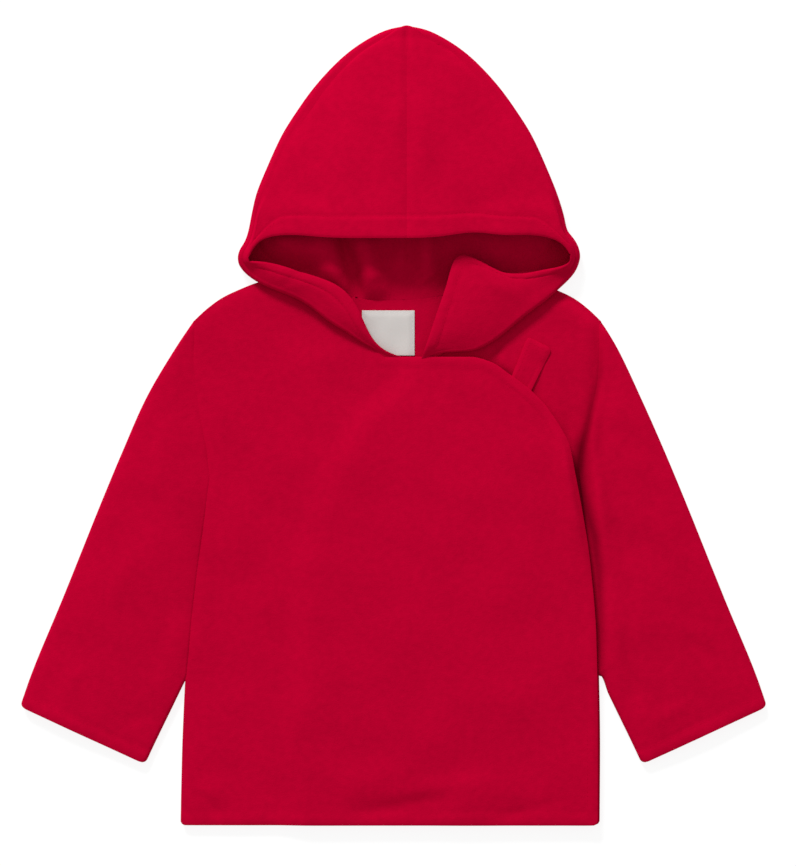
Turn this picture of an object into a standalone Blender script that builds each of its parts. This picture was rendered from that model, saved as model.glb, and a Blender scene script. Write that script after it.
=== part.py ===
"""A small child's hooded fleece jacket with a wrap front, laid flat on its back.

Tables and sizes are in millimetres, and MM turns them into metres. +X is the
wearer's left, +Y runs from the hem to the hood's peak and +Z is up. The
garment lies on z = 0. A height is that of a wall's middle, unless it says top.
"""

import bpy
import numpy as np

MM = 0.001

# Cloth
WALL = 2.0
GAP = 0.4
BACK_LEVEL = WALL / 2
FRONT_LEVEL = BACK_LEVEL + WALL + 1.0
LAP_STEP = WALL + 1.5 * GAP

# Body
HEM_Y = -288.0
LEAN_TOP = (3.0, 90.0)
LEAN_HEM = (-2.5, HEM_Y)
NECK_HALF = 76.0
NAPE = (-4.0, 92.0)
CHEST_CROWN = 1.6
LAP_SLOPE = 30.0

# Half outline of the body, from the neck to the shoulder's end: x, y
SHOULDER = (
    (NECK_HALF, 109.0), (101.0, 103.0), (115.0, 97.5), (126.6, 91.9),
    (138.0, 83.5), (147.0, 75.0),
)
# From the shoulder's end to the underarm: x, y
ARMHOLE = ((147.0, 75.0), (147.0, 55.0), (145.0, 30.0), (141.0, 5.0), (137.0, -15.0), (135.0, -31.0))
# From the underarm to the hem: x, y
SIDE = (
    (135.0, -31.0), (137.5, -54.0), (142.0, -97.0), (146.0, -140.0),
    (149.0, -180.0), (150.5, -230.0), (151.0, HEM_Y),
)

# The overlap's free edge, from the foot of the hood's right half to the hem: x, y
WRAP_TOP = (
    (-7.0, 49.6), (20.0, 49.4), (55.0, 49.4), (69.6, 45.8),
    (84.0, 36.4), (98.4, 25.6), (109.3, 14.8),
)
WRAP_SIDE = (
    (109.3, 14.8), (120.0, 0.4), (128.7, -14.0), (134.0, -35.7), (137.5, -60.0),
    (142.0, -97.0), (146.0, -150.0), (147.0, -212.0), (147.0, HEM_Y),
)
# The underlap's hidden free edge, from the foot of the hood's left half to the hem: x, y
UNDERLAP_EDGE = ((34.0, 50.8), (20.0, 30.0), (-8.0, 0.0), (-35.0, -50.0), (-50.0, -120.0), (-58.0, HEM_Y))

# Soft folds of the chest: start x, y, end x, y, half width, height
CHEST_FOLDS = (
    (-45.0, -268.0, 20.0, -246.0, 13.0, 1.2),
    (30.0, -272.0, 105.0, -258.0, 12.0, 1.0),
    (-148.0, -280.0, -118.0, -252.0, 10.0, 1.2),
)

# Sleeve, outer edge from the shoulder's end to the cuff: x, y
SLEEVE_OUTER = (
    (150.5, 74.0), (161.0, 54.4), (178.0, 18.4), (194.0, -17.7),
    (209.0, -53.7), (238.0, -125.8), (260.4, -180.0), (268.4, -203.0),
)
# Sleeve, inner edge below the point where it leaves the body: x, y
SLEEVE_INNER_FREE = ((155.5, -186.0), (162.0, -196.0), (169.5, -209.0), (178.0, -227.0), (184.5, -242.5))
SLEEVE_FOLD_RISE = 3.6
SLEEVE_CROWN = 2.2
SLEEVE_ROWS = 15
SLEEVE_ACROSS = 9
SLEEVE_ROUND = 3

# Hood, from the peak to its forehead edge: y, half width, height in the middle,
# height at the side, how far the side lies below the middle in y, right and left
# flap depth, right and left back inset
HOOD_MIDDLE = 9.5
HOOD_SECTIONS = (
    (287.4, 10.0, 6.4, 6.2, 0.2, 0.0, 0.0, 0.0, 0.0),
    (279.5, 30.0, 7.6, 6.8, 2.0, 0.0, 0.0, 0.0, 0.0),
    (276.0, 43.5, 8.6, 6.8, 8.0, 0.0, 0.0, 0.0, 0.0),
    (268.0, 57.0, 10.0, 7.5, 13.0, 0.0, 0.0, 0.0, 0.0),
    (257.0, 69.0, 11.6, 8.2, 16.0, 0.0, 0.0, 0.0, 0.0),
    (242.0, 79.5, 13.8, 9.4, 16.0, 0.0, 0.0, 0.0, 0.0),
    (225.0, 89.0, 16.1, 10.8, 14.0, 0.0, 0.0, 0.0, 0.0),
    (206.0, 95.3, 18.3, 12.2, 8.0, 0.0, 0.0, 0.0, 0.0),
    (187.0, 102.2, 20.0, 13.6, 5.0, 0.0, 18.0, 0.0, 1.0),
    (169.0, 108.6, 21.6, 14.8, 3.0, 0.0, 38.0, 0.0, 6.0),
    (152.0, 113.8, 23.2, 15.6, 5.0, 9.0, 60.0, 15.0, 15.0),
    (136.0, 121.5, 24.5, 16.0, 10.0, 10.0, 78.0, 26.0, 27.0),
)
# Hood's right half below the forehead, first down to the shoulder's neck end and
# then along the front neckline: face edge x, y, z, fold line x, y, z, foot x, y
# and the middle of the back's y, where there is a back
HOOD_RIGHT_LIP = (
    (-111.5, 118.0, 13.0, -101.0, 121.0, 13.5, -82.5, 126.5, 119.0),
    (-106.5, 109.5, 10.5, -91.0, 117.0, 14.0, -77.0, 119.0, 107.0),
    (-97.0, 102.5, 9.2, -80.0, 112.5, 14.0, -70.0, 111.4, 92.8),
    (-83.0, 97.0, 8.8, -68.0, 107.5, 14.0, 0.14, None, None),
    (-69.5, 89.5, 8.6, -57.0, 104.0, 14.0, 0.28, None, None),
    (-56.0, 81.5, 8.4, -46.0, 99.5, 14.0, 0.42, None, None),
    (-43.5, 73.0, 8.4, -36.0, 94.0, 13.5, 0.56, None, None),
    (-32.0, 66.0, 8.4, -27.5, 85.0, 13.0, 0.70, None, None),
    (-22.0, 60.0, 8.4, -20.0, 72.5, 12.0, 0.85, None, None),
    (-12.0, 52.8, 8.4, -9.5, 58.0, 11.0, 1.0, None, None),
)
# Hood's left half, the same columns
HOOD_LEFT_LIP = (
    (133.0, 117.5, 13.0, 43.8, 122.5, 11.5, 92.5, 125.5, 119.0),
    (128.0, 107.5, 10.5, 42.0, 116.5, 11.5, 84.5, 118.5, 107.0),
    (119.5, 98.0, 9.2, 40.0, 109.0, 11.5, 77.4, 110.8, 92.8),
    (107.0, 88.0, 8.8, 37.5, 99.5, 11.5, 0.16, None, None),
    (95.0, 78.5, 8.6, 35.0, 90.5, 11.5, 0.32, None, None),
    (83.0, 69.0, 8.4, 32.5, 82.0, 11.5, 0.48, None, None),
    (71.5, 60.2, 8.4, 29.5, 73.0, 11.2, 0.65, None, None),
    (60.0, 54.6, 8.4, 26.7, 64.0, 10.8, 0.82, None, None),
    (50.0, 52.4, 8.4, 24.4, 55.5, 10.5, 1.0, None, None),
)
# Upright folds inside the hood's back: start x, y, end x, y, half width, height
HOOD_FOLDS = (
    (-52.0, 175.0, -38.0, 104.0, 10.0, 4.5),
    (-14.0, 165.0, -12.0, 108.0, 7.0, 3.5),
    (12.0, 160.0, 19.0, 104.0, 7.0, 2.6),
)
# Heights of the flap and the layer below it, as shares of the side's height
FLAP_SHARE = 0.66
MIDDLE_SHARE = 0.30
# Depth at which a flap has its full form
FLAP_BLEND = 9.0
# How far the cloth rolls past the flap's crest, and how much a flap swells
ROLL_BULGE = 3.0
CURL_BULGE = 4.5
FLAP_SWELL = 0.8
# Share of even steps round a plain side
SIDE_EVENNESS = 0.7
# How far the peak's rows end sideways, and how that fades from row to row
PEAK_TURN = 4.0
PEAK_FADE = 0.6
# Power with which a row droops towards its end
ROUND_END = 2.0
STRAIGHT_END = 5.0
SEAM_OFFSET = 0.8
FRONT_COLUMNS = 8
TURN_COLUMNS = 3
FLAP_COLUMNS = 5
MIDDLE_COLUMNS = 4
BACK_COLUMNS = 11
UNDER_COLUMNS = MIDDLE_COLUMNS + 2 * TURN_COLUMNS
SIDE_COLUMNS = TURN_COLUMNS + FLAP_COLUMNS + UNDER_COLUMNS

# Tab: corners on the underlap, from the wrap edge outwards: x, y
TAB_ROOT = ((85.6, 36.6), (99.6, 26.4))
TAB_END = ((96.6, 64.0), (114.0, 55.4))
TAB_WALL = 1.6

# Neck label
LABEL_CENTRE_X = -3.8
LABEL_WIDTH = 38.0
LABEL_TOP_Y = 83.0
LABEL_FOOT_Y = 50.4
LABEL_WALL = 0.4
LABEL_GAP = 0.3

FLEECE = ("fleece", (0.48, 0.002, 0.022, 1.0), 0.9)
SATIN = ("label_satin", (0.74, 0.74, 0.76, 1.0), 0.35)


def monotone(knots, values, at):
    """Smooth interpolation of a table that never swings past its values."""
    step = np.diff(knots)
    slope = np.diff(values) / step
    before, after = slope[:-1], slope[1:]
    same_way = before * after > 0
    mean = np.where(same_way, before + after, 1.0)
    inner = np.where(same_way, 2 * before * after / mean, 0.0)
    tangent = np.concatenate([slope[:1], inner, slope[-1:]])
    cell = np.clip(np.searchsorted(knots, at, side="right") - 1, 0, len(step) - 1)
    t = (at - knots[cell]) / step[cell]
    start = (1 + 2 * t) * (1 - t) ** 2 * values[cell] + t * (1 - t) ** 2 * step[cell] * tangent[cell]
    end = t * t * (3 - 2 * t) * values[cell + 1] + t * t * (t - 1) * step[cell] * tangent[cell + 1]
    return start + end


def smooth_curve(points, count):
    """Points at equal steps along a smooth curve through the given ones."""
    points = np.asarray(points, float)
    spans = np.linalg.norm(np.diff(points, axis=0), axis=1)
    knots = np.concatenate([[0.0], np.cumsum(spans)])
    fine = np.linspace(0, knots[-1], 60 * len(points))
    dense = np.column_stack([monotone(knots, column, fine) for column in points.T])
    runs = np.concatenate([[0.0], np.cumsum(np.linalg.norm(np.diff(dense, axis=0), axis=1))])
    steps = np.linspace(0, runs[-1], count)
    return np.column_stack([np.interp(steps, runs, column) for column in dense.T])


def smoothstep(t):
    t = np.clip(t, 0.0, 1.0)
    return t * t * (3 - 2 * t)


def lerp(start, end, count):
    """Points at equal steps along a straight line, both ends included."""
    t = np.linspace(0, 1, count)[:, None]
    return (1 - t) * np.asarray(start, float) + t * np.asarray(end, float)


def leaned(points, side=1):
    """A half outline set on one side of the slightly leaning body."""
    points = np.array(points, float)
    points[:, 0] = side * points[:, 0] + np.interp(
        points[:, 1], (LEAN_HEM[1], LEAN_TOP[1]), (LEAN_HEM[0], LEAN_TOP[0])
    )
    return points


def fold_height(x, y, folds):
    """Height that the soft folds add at a place."""
    total = np.zeros_like(np.asarray(x, float))
    for start_x, start_y, end_x, end_y, half_width, height in folds:
        along_x, along_y = end_x - start_x, end_y - start_y
        t = ((x - start_x) * along_x + (y - start_y) * along_y) / (along_x**2 + along_y**2)
        near = np.clip(t, 0.0, 1.0)
        away = np.hypot(x - start_x - near * along_x, y - start_y - near * along_y)
        total = total + height * np.exp(-((away / half_width) ** 2)) * smoothstep(1.5 - 3 * abs(t - 0.5))
    return total


def chest_height(x, y):
    """The chest's slight crown and its folds, nothing at its outer edges."""
    across = 1 - smoothstep((abs(x) - 60) / 80)
    along = smoothstep((y - HEM_Y) / 90) * (1 - smoothstep((y + 30) / 70))
    return CHEST_CROWN * across * along + fold_height(x, y, CHEST_FOLDS)


def underlap_height(x, y):
    return FRONT_LEVEL + chest_height(x, y)


def overlap_height(x, y):
    """The overlap lies on the back, and steps up to lie on the underlap."""
    edge = smooth_curve(UNDERLAP_EDGE, 80)[::-1]
    edge_x = np.interp(y, edge[:, 1], edge[:, 0])
    step = smoothstep((x - edge_x + LAP_SLOPE) / (LAP_SLOPE - 3))
    return FRONT_LEVEL + LAP_STEP * step + chest_height(x, y)


def patch(bottom, top, left, right):
    """Grid of points between four edge curves that share their corners."""
    u = np.linspace(0, 1, len(bottom))[None, :, None]
    v = np.linspace(0, 1, len(left))[:, None, None]
    between_rows = (1 - v) * bottom[None] + v * top[None]
    between_columns = (1 - u) * left[:, None] + u * right[:, None]
    corners = (1 - v) * ((1 - u) * bottom[0] + u * bottom[-1]) + v * ((1 - u) * top[0] + u * top[-1])
    return between_rows + between_columns - corners


def material(name, colour, roughness):
    made = bpy.data.materials.new(name)
    made.use_nodes = True
    shader = made.node_tree.nodes["Principled BSDF"]
    shader.inputs["Base Color"].default_value = colour
    shader.inputs["Roughness"].default_value = roughness
    shader.inputs["Metallic"].default_value = 0.0
    return made


def add_cloth(collection, name, grid, wall, finish, closed=False, missing=None):
    """One piece of cloth: a grid of points, given its wall by Solidify.

    closed joins the last column to the first. missing says for a row and a
    column whether the grid has no cloth there.
    """
    rows, columns = grid.shape[:2]
    last = columns if closed else columns - 1
    faces = []
    for row in range(rows - 1):
        for column in range(last):
            if missing and missing(row, column):
                continue
            after = (column + 1) % columns
            faces.append((
                row * columns + column,
                row * columns + after,
                (row + 1) * columns + after,
                (row + 1) * columns + column,
            ))
    used = sorted({corner for face in faces for corner in face})
    place = {corner: index for index, corner in enumerate(used)}
    points = grid.reshape(-1, 3)[used] * MM
    mesh = bpy.data.meshes.new(name)
    mesh.from_pydata(points.tolist(), [], [[place[corner] for corner in face] for face in faces])
    mesh.shade_smooth()
    mesh.materials.append(material(f"{name}_{finish[0]}", *finish[1:]))
    piece = bpy.data.objects.new(name, mesh)
    collection.objects.link(piece)
    solidify = piece.modifiers.new("Wall", "SOLIDIFY")
    solidify.thickness = wall * MM
    solidify.offset = 0.0
    return piece


def with_height(flat, height):
    return np.dstack([flat, height(flat[..., 0], flat[..., 1])])


def neck_end(side):
    return leaned(SHOULDER[:1], side)[0]


def back_neck_y(x, side):
    """Height on the table of the back neckline's curve above a place across the body."""
    end_x, end_y = neck_end(side)
    share = np.clip((x - NAPE[0]) / (end_x - NAPE[0]), 0.0, 1.0)
    return NAPE[1] + (end_y - NAPE[1]) * share**2.2


def back_neckline(side, count):
    """From the shoulder's neck end to the nape, on one side of the body."""
    across = np.linspace(neck_end(side)[0], NAPE[0], count)
    return np.column_stack([across, back_neck_y(across, side)])


def front_neckline(side, count):
    """From the shoulder's neck end to the foot of one front's neckline, a straight line."""
    return lerp(neck_end(side), WRAP_TOP[0] if side < 0 else UNDERLAP_EDGE[0], count)


def build_back(collection):
    rows, columns = 17, 10
    sides = []
    for side in (-1, 1):
        outline = leaned(SIDE[::-1] + ARMHOLE[::-1][1:], side)
        sides.append(smooth_curve(outline, rows))
    half_tops = []
    for side in (-1, 1):
        shoulder = smooth_curve(leaned(SHOULDER[::-1], side), 6)
        neck = back_neckline(side, columns - 4)
        half_tops.append(np.concatenate([shoulder, neck[1:]]))
    top = np.concatenate([half_tops[0], half_tops[1][::-1][1:]])
    bottom = lerp(sides[0][0], sides[1][0], len(top))
    flat = patch(bottom, top, *sides)
    grid = with_height(flat, lambda x, y: np.full_like(x, BACK_LEVEL))
    return add_cloth(collection, "back_panel", grid, WALL, FLEECE)


def build_overlap(collection):
    rows = 19
    left = smooth_curve(leaned(SIDE[::-1] + ARMHOLE[::-1][1:], -1), rows)
    right = smooth_curve(WRAP_SIDE[::-1], rows)
    shoulder = smooth_curve(leaned(SHOULDER[::-1], -1), 5)
    neck = front_neckline(-1, 8)
    edge = smooth_curve(WRAP_TOP, 11)
    top = np.concatenate([shoulder, neck[1:], edge[1:]])
    bottom = lerp(left[0], right[0], len(top))
    grid = with_height(patch(bottom, top, left, right), overlap_height)
    return add_cloth(collection, "overlap_front", grid, WALL, FLEECE)


def build_underlap(collection):
    rows = 15
    left = smooth_curve(UNDERLAP_EDGE[::-1], rows)
    right = smooth_curve(leaned(SIDE[::-1] + ARMHOLE[::-1][1:]), rows)
    neck = front_neckline(1, 8)[::-1]
    shoulder = smooth_curve(leaned(SHOULDER), 6)
    top = np.concatenate([neck, shoulder[1:]])
    bottom = lerp(left[0], right[0], len(top))
    grid = with_height(patch(bottom, top, left, right), underlap_height)
    return add_cloth(collection, "underlap_front", grid, WALL, FLEECE)


def turn(start, end, out, count):
    """Points strictly inside a half circle from one layer to another, bulging along out."""
    start, end = np.asarray(start, float), np.asarray(end, float)
    centre = (start + end) / 2
    radius = np.linalg.norm(end - start) / 2
    angles = np.linspace(0, np.pi, count + 2)[1:-1, None]
    return centre + (start - centre) * np.cos(angles) + np.asarray(out, float) * radius * np.sin(angles)


def sleeve_ring(inner, outer, inward, outward, share):
    """A flattened ring across the sleeve, from the inner edge over the top and back.

    inward and outward point off its two edges, square to them.
    """
    rise = SLEEVE_FOLD_RISE - (SLEEVE_FOLD_RISE - FRONT_LEVEL + BACK_LEVEL) * (1 - smoothstep(share * 5))
    inner, outer = inner - inward * rise / 2, outer - outward * rise / 2
    t = np.linspace(0, 1, SLEEVE_ACROSS)
    swell = SLEEVE_CROWN * smoothstep(share * 5) * (1 - 0.45 * smoothstep((share - 0.7) / 0.3))
    top = lerp((*inner, BACK_LEVEL + rise), (*outer, BACK_LEVEL + rise), SLEEVE_ACROSS)
    top[:, 2] += swell * np.sin(np.pi * t) ** 0.7
    below = lerp((*outer, BACK_LEVEL), (*inner, BACK_LEVEL), SLEEVE_ACROSS)
    outer_turn = turn(top[-1], below[0], (*outward, 0.0), SLEEVE_ROUND)
    inner_turn = turn(below[-1], top[0], (*inward, 0.0), SLEEVE_ROUND)
    return np.concatenate([top, outer_turn, below, inner_turn])


def square_to(line, way):
    """Unit directions square to a line at each of its points, on the side of way."""
    along = np.gradient(line, axis=0)
    across = np.column_stack([along[:, 1], -along[:, 0]])
    across *= np.sign(across @ np.asarray(way, float))[:, None]
    return across / np.linalg.norm(across, axis=1)[:, None]


def build_sleeve(collection, name, side):
    """A folded tube that lies beside the body and ends in an open cuff."""
    beside = leaned(SIDE[:-2], side)
    beside[:, 0] += side * (WALL / 2 + 2 * GAP)
    free = np.array(SLEEVE_INNER_FREE) * (side, 1)
    inner = smooth_curve(np.concatenate([beside, free]), SLEEVE_ROWS)
    outer = np.array(SLEEVE_OUTER) * (side, 1)
    outer[0] = leaned(SHOULDER[-1:], side)[0] + (side * (WALL / 2 + 2 * GAP), GAP)
    outer = smooth_curve(outer, SLEEVE_ROWS)
    inward, outward = square_to(inner, (-side, 0)), square_to(outer, (side, 0))
    shares = np.linspace(0, 1, SLEEVE_ROWS)
    rings = np.array([sleeve_ring(*edges) for edges in zip(inner, outer, inward, outward, shares)])

    # The rings begin along the armhole's curve
    top = slice(0, SLEEVE_ACROSS)
    below = slice(SLEEVE_ACROSS + SLEEVE_ROUND, 2 * SLEEVE_ACROSS + SLEEVE_ROUND)
    armhole = smooth_curve(leaned(ARMHOLE[::-1], side), SLEEVE_ACROSS) + (side * GAP, 0)
    away = (armhole - rings[0, top, :2]) * smoothstep(np.linspace(0, 4, SLEEVE_ACROSS))[:, None]
    fading = ((1 - shares) ** 3)[:, None, None]
    rings[:, top, :2] += fading * away
    rings[:, below, :2] += fading * away[::-1]
    return add_cloth(collection, name, rings, WALL, FLEECE, closed=True)


def flap_layer(start, top_z, end, end_z):
    flap = lerp((*start, top_z), (*end, end_z), FLAP_COLUMNS)
    flap[:, 2] += FLAP_SWELL * np.sin(np.pi * np.linspace(0, 1, FLAP_COLUMNS))
    return flap


def inward_of(start, end):
    way = np.asarray(end, float) - np.asarray(start, float)
    return way / np.linalg.norm(way)


def rolled(start, top_z, crest, crest_z, foot, foot_z):
    """The flap up to its crest, and the cloth that rolls over there and down towards its foot.

    It comes down onto the table ahead of the crest, or curls back under it to
    a foot along the front neckline.
    """
    flap = flap_layer(start, top_z, crest, crest_z)
    inward = inward_of(start, crest)
    way = np.asarray(foot, float) - crest
    t = np.linspace(0, 1, UNDER_COLUMNS + 2)[1:-1, None]
    if foot_z == BACK_LEVEL:
        run, bulge, drop = t**1.6, ROLL_BULGE, smoothstep(t)
    else:
        run, bulge, drop = t**3, CURL_BULGE, (1 - np.cos(np.pi * t)) / 2
    line = crest + way * run + bulge * inward * np.sin(np.pi * t)
    return np.concatenate([flap, np.column_stack([line, crest_z + (foot_z - crest_z) * drop])])


def pleated(start, top_z, fold, fold_z, middle_z, foot, foot_z, out):
    """The flap up to its fold line, and the layer that goes back out below it towards its foot.

    A foot that lies lower than the middle layer is reached by a turn along out.
    """
    inward = inward_of(start, fold)
    tip = np.asarray(fold) - inward * (fold_z - middle_z) / 2
    flap = flap_layer(start, top_z, tip, fold_z)
    fold_turn = turn(flap[-1], (*tip, middle_z), (*inward, 0.0), TURN_COLUMNS)
    middle = lerp((*tip, middle_z), (*foot, middle_z), MIDDLE_COLUMNS + 1)[1:]
    low_turn = turn(middle[-1], (*foot, foot_z), out, TURN_COLUMNS)
    return np.concatenate([flap, fold_turn, middle, low_turn])


def with_back_folds(line):
    """The layer on the table along a line, raised at the folds inside the hood."""
    return np.column_stack([line, BACK_LEVEL + fold_height(line[:, 0], line[:, 1], HOOD_FOLDS)])


def full_row(side, section, seam, out):
    """One section of the hood above the forehead edge, from its front seam round to its back seam.

    out points off the hood's outline there, square to it.
    """
    y, half_width, crown_z, side_z, drop, *own = section
    depth, inset = own[0::2] if side < 0 else own[1::2]
    rise = side_z - BACK_LEVEL
    end = np.array([HOOD_MIDDLE + side * (half_width - WALL / 2), y - drop])
    seam_x = HOOD_MIDDLE + side * seam
    out3 = np.array([*out, 0.0])

    # The flap between the front and the back layer
    flap_z = BACK_LEVEL + FLAP_SHARE * rise
    middle_z = BACK_LEVEL + MIDDLE_SHARE * rise
    rim_end = end - out * (side_z - flap_z) / 2
    if side < 0:
        foot = end - (side * (inset + rise / 2), -drop / 2)
        fold = rim_end - (side * (depth + 0.1), -1.0)
        flapped = rolled(rim_end, flap_z, fold, flap_z, foot, BACK_LEVEL)
    else:
        foot = end - (side * ((middle_z - BACK_LEVEL) / 2 + inset), -drop / 2)
        fold = rim_end - (side * (depth + 4.0), -1.0)
        flapped = pleated(rim_end, flap_z, fold, flap_z, middle_z, foot, BACK_LEVEL, out3)
    rim = turn((*rim_end, side_z), flapped[0], out3, TURN_COLUMNS)
    folded = np.concatenate([rim, flapped])

    # A plain round side at much the same heights, as near the peak
    bend = end - out * rise / 2
    angles = np.linspace(0, np.pi, SIDE_COLUMNS + 2)[1:-1]
    level = np.sort(folded[:, 2])[::-1] * 2 / rise - (side_z + BACK_LEVEL) / rise
    level = ((1 - SIDE_EVENNESS) * level + SIDE_EVENNESS * np.cos(angles))[:, None]
    round_line = bend + out * rise / 2 * np.sqrt(1 - level**2)
    plain = np.column_stack([round_line, (side_z + BACK_LEVEL + rise * level) / 2])

    share = smoothstep(depth / FLAP_BLEND)
    front_end = (1 - share) * bend + share * rim_end
    back_start = (1 - share) * bend + share * foot
    t = np.linspace(0, 1, FRONT_COLUMNS)
    droop = t ** (STRAIGHT_END if max(own) > 0 else ROUND_END)
    front = np.column_stack([
        seam_x + (front_end[0] - seam_x) * t,
        y + (front_end[1] - y) * droop,
        side_z + (crown_z - side_z) * np.cos(t * np.pi / 2),
    ])
    back = with_back_folds(lerp(back_start, (seam_x, y - 1.4 * drop), BACK_COLUMNS))
    return np.concatenate([front, (1 - share) * plain + share * folded, back])


def lip_row(side, section, seam, share):
    """One section of the hood below the forehead edge; its front columns hold no cloth.

    share runs from the forehead edge, 0, to the shoulder's neck end, 1, and on
    along the front neckline, where no back layer is left.
    """
    face_x, face_y, face_z, fold_x, fold_y, fold_z, foot_x, foot_y, back_y = section
    out = np.array([side, 0.0, 0.0])
    last_z = HOOD_SECTIONS[-1][3]
    bent = smoothstep(share)
    middle_z = (1 - bent) * (BACK_LEVEL + MIDDLE_SHARE * (last_z - BACK_LEVEL)) + bent * FRONT_LEVEL
    if back_y is None:
        foot, foot_z = neck_seam_point(side, foot_x), FRONT_LEVEL
        back = np.repeat([[*foot, foot_z]], BACK_COLUMNS, axis=0)
    else:
        foot, foot_z = (foot_x - side * (middle_z - BACK_LEVEL) / 2, foot_y), BACK_LEVEL
        seam_x = HOOD_MIDDLE + (NAPE[0] - HOOD_MIDDLE) * bent + side * seam
        line = lerp(foot, (seam_x, back_y), BACK_COLUMNS)
        neck_y = back_neck_y(line[:, 0], side) + SEAM_OFFSET
        line[:, 1] += (neck_y - line[:, 1]) * share**4 * np.linspace(0, 1, BACK_COLUMNS) ** 0.3
        back = with_back_folds(line)
    start, fold = (face_x, face_y), (fold_x, fold_y)
    if side < 0:
        part = rolled(start, face_z, fold, fold_z, foot, foot_z)
    else:
        part = pleated(start, face_z, fold, fold_z, middle_z, foot, foot_z, out)
    empty = np.repeat(part[:1], FRONT_COLUMNS + TURN_COLUMNS, axis=0)
    return np.concatenate([empty, part, back])


def neck_seam_point(side, share):
    """A point of the hood's edge along the front neckline, just inside that seam."""
    start, foot = front_neckline(side, 2)
    along = inward_of(start, foot)
    across = np.array([-along[1], along[0]]) * (1 if side < 0 else -1)
    return start + (foot - start) * share + across * (SEAM_OFFSET if side > 0 else WALL / 2 + GAP)


def build_hood_half(collection, name, side, lip):
    """Half of the hood: a front layer above the forehead edge, a flap at its side and a back layer."""
    seam = GAP / 2
    sections = np.array(HOOD_SECTIONS)
    outline = np.column_stack([side * sections[:, 1], sections[:, 0] - sections[:, 4]])
    outward = square_to(outline, (side, 0.2))
    outward[:, 0] += side * PEAK_TURN * PEAK_FADE ** np.arange(len(outward))
    outward /= np.linalg.norm(outward, axis=1)[:, None]
    rows = [full_row(side, section, seam, out) for section, out in zip(sections, outward)]
    full = len(rows)
    with_back = sum(section[-1] is not None for section in lip)
    for index, section in enumerate(lip):
        rows.append(lip_row(side, section, seam, min((index + 1) / with_back, 1.0)))
    grid = np.array(rows)
    lip_start = FRONT_COLUMNS + TURN_COLUMNS
    under = UNDER_COLUMNS if side < 0 else TURN_COLUMNS + MIDDLE_COLUMNS - 1
    lip_end = lip_start + FLAP_COLUMNS + under

    def missing(row, column):
        above_face = row >= full - 1 and column < lip_start
        below_neck = row >= full - 1 + with_back and column >= lip_end
        return above_face or below_neck

    return add_cloth(collection, name, grid, WALL, FLEECE, missing=missing)


def build_tab(collection):
    """The closure tab, made from the underlap's points, moved out."""
    rows, columns = 5, 4
    left = lerp(TAB_ROOT[0], TAB_END[0], rows)
    right = lerp(TAB_ROOT[1], TAB_END[1], rows)
    flat = np.array([lerp(start, end, columns) for start, end in zip(left, right)])
    lift = WALL / 2 + GAP + TAB_WALL / 2
    grid = with_height(flat, lambda x, y: underlap_height(x, y) + lift)
    return add_cloth(collection, "closure_tab", grid, TAB_WALL, FLEECE)


def build_label(collection):
    """The neck label, made from the back's points, moved out."""
    half = LABEL_WIDTH / 2
    corners = [(LABEL_CENTRE_X - half, LABEL_CENTRE_X + half, y) for y in (LABEL_FOOT_Y, LABEL_TOP_Y)]
    flat = np.array([lerp((start, y), (end, y), 3) for start, end, y in corners])
    level = BACK_LEVEL + (WALL + LABEL_WALL) / 2 + LABEL_GAP
    grid = with_height(flat, lambda x, y: np.full_like(x, level))
    return add_cloth(collection, "neck_label", grid, LABEL_WALL, SATIN)


def clear_scene():
    for found in list(bpy.data.objects):
        bpy.data.objects.remove(found, do_unlink=True)


def main():
    clear_scene()
    collection = bpy.data.collections.new("Fleece jacket")
    bpy.context.scene.collection.children.link(collection)
    build_back(collection)
    build_overlap(collection)
    build_underlap(collection)
    build_sleeve(collection, "sleeve_right", -1)
    build_sleeve(collection, "sleeve_left", 1)
    build_hood_half(collection, "hood_right", -1, HOOD_RIGHT_LIP)
    build_hood_half(collection, "hood_left", 1, HOOD_LEFT_LIP)
    build_tab(collection)
    build_label(collection)


main()
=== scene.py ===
"""Dresses a small child's hooded fleece jacket with a wrap front, laid flat on its back.

Tables and sizes are in millimetres, and MM turns them into metres. +X is the
wearer's left, +Y runs from the hem to the hood's peak and +Z is up. A height is
that of a wall's middle, unless it says top.
"""

import bpy
import numpy as np
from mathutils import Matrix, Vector


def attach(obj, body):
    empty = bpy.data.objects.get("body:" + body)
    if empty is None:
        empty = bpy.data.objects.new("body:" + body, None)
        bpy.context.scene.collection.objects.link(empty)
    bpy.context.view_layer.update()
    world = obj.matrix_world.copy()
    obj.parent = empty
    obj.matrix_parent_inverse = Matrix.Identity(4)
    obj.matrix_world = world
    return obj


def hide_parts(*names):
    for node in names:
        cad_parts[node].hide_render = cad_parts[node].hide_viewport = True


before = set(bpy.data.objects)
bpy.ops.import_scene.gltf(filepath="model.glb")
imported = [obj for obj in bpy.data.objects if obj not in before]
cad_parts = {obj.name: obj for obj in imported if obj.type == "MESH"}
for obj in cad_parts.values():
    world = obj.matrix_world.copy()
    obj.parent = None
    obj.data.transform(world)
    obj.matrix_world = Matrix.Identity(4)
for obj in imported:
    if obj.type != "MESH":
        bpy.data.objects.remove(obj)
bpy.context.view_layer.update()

bl_info = {
    "name": "Fleece Jacket",
    "version": (1, 0, 0),
    "blender": (4, 5, 0),
    "location": "3D View > Sidebar > Jacket",
    "description": "Builds a laid-out fleece jacket with a hood and a wrap front",
    "category": "Add Mesh",
}

MM = 0.001
SIDES = ((-1, "right"), (1, "left"))
WALL = 2.0

# Levels of the back and the fronts, and the overlap's step up over the underlap's
# hidden edge: its height, its length and the stretch of it that is level
BACK_LEVEL = 1.0
FRONT_LEVEL = 4.0
LAP_STEP = 2.6
LAP_SLOPE = 30.0
LAP_LEVEL = 3.0
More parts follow.
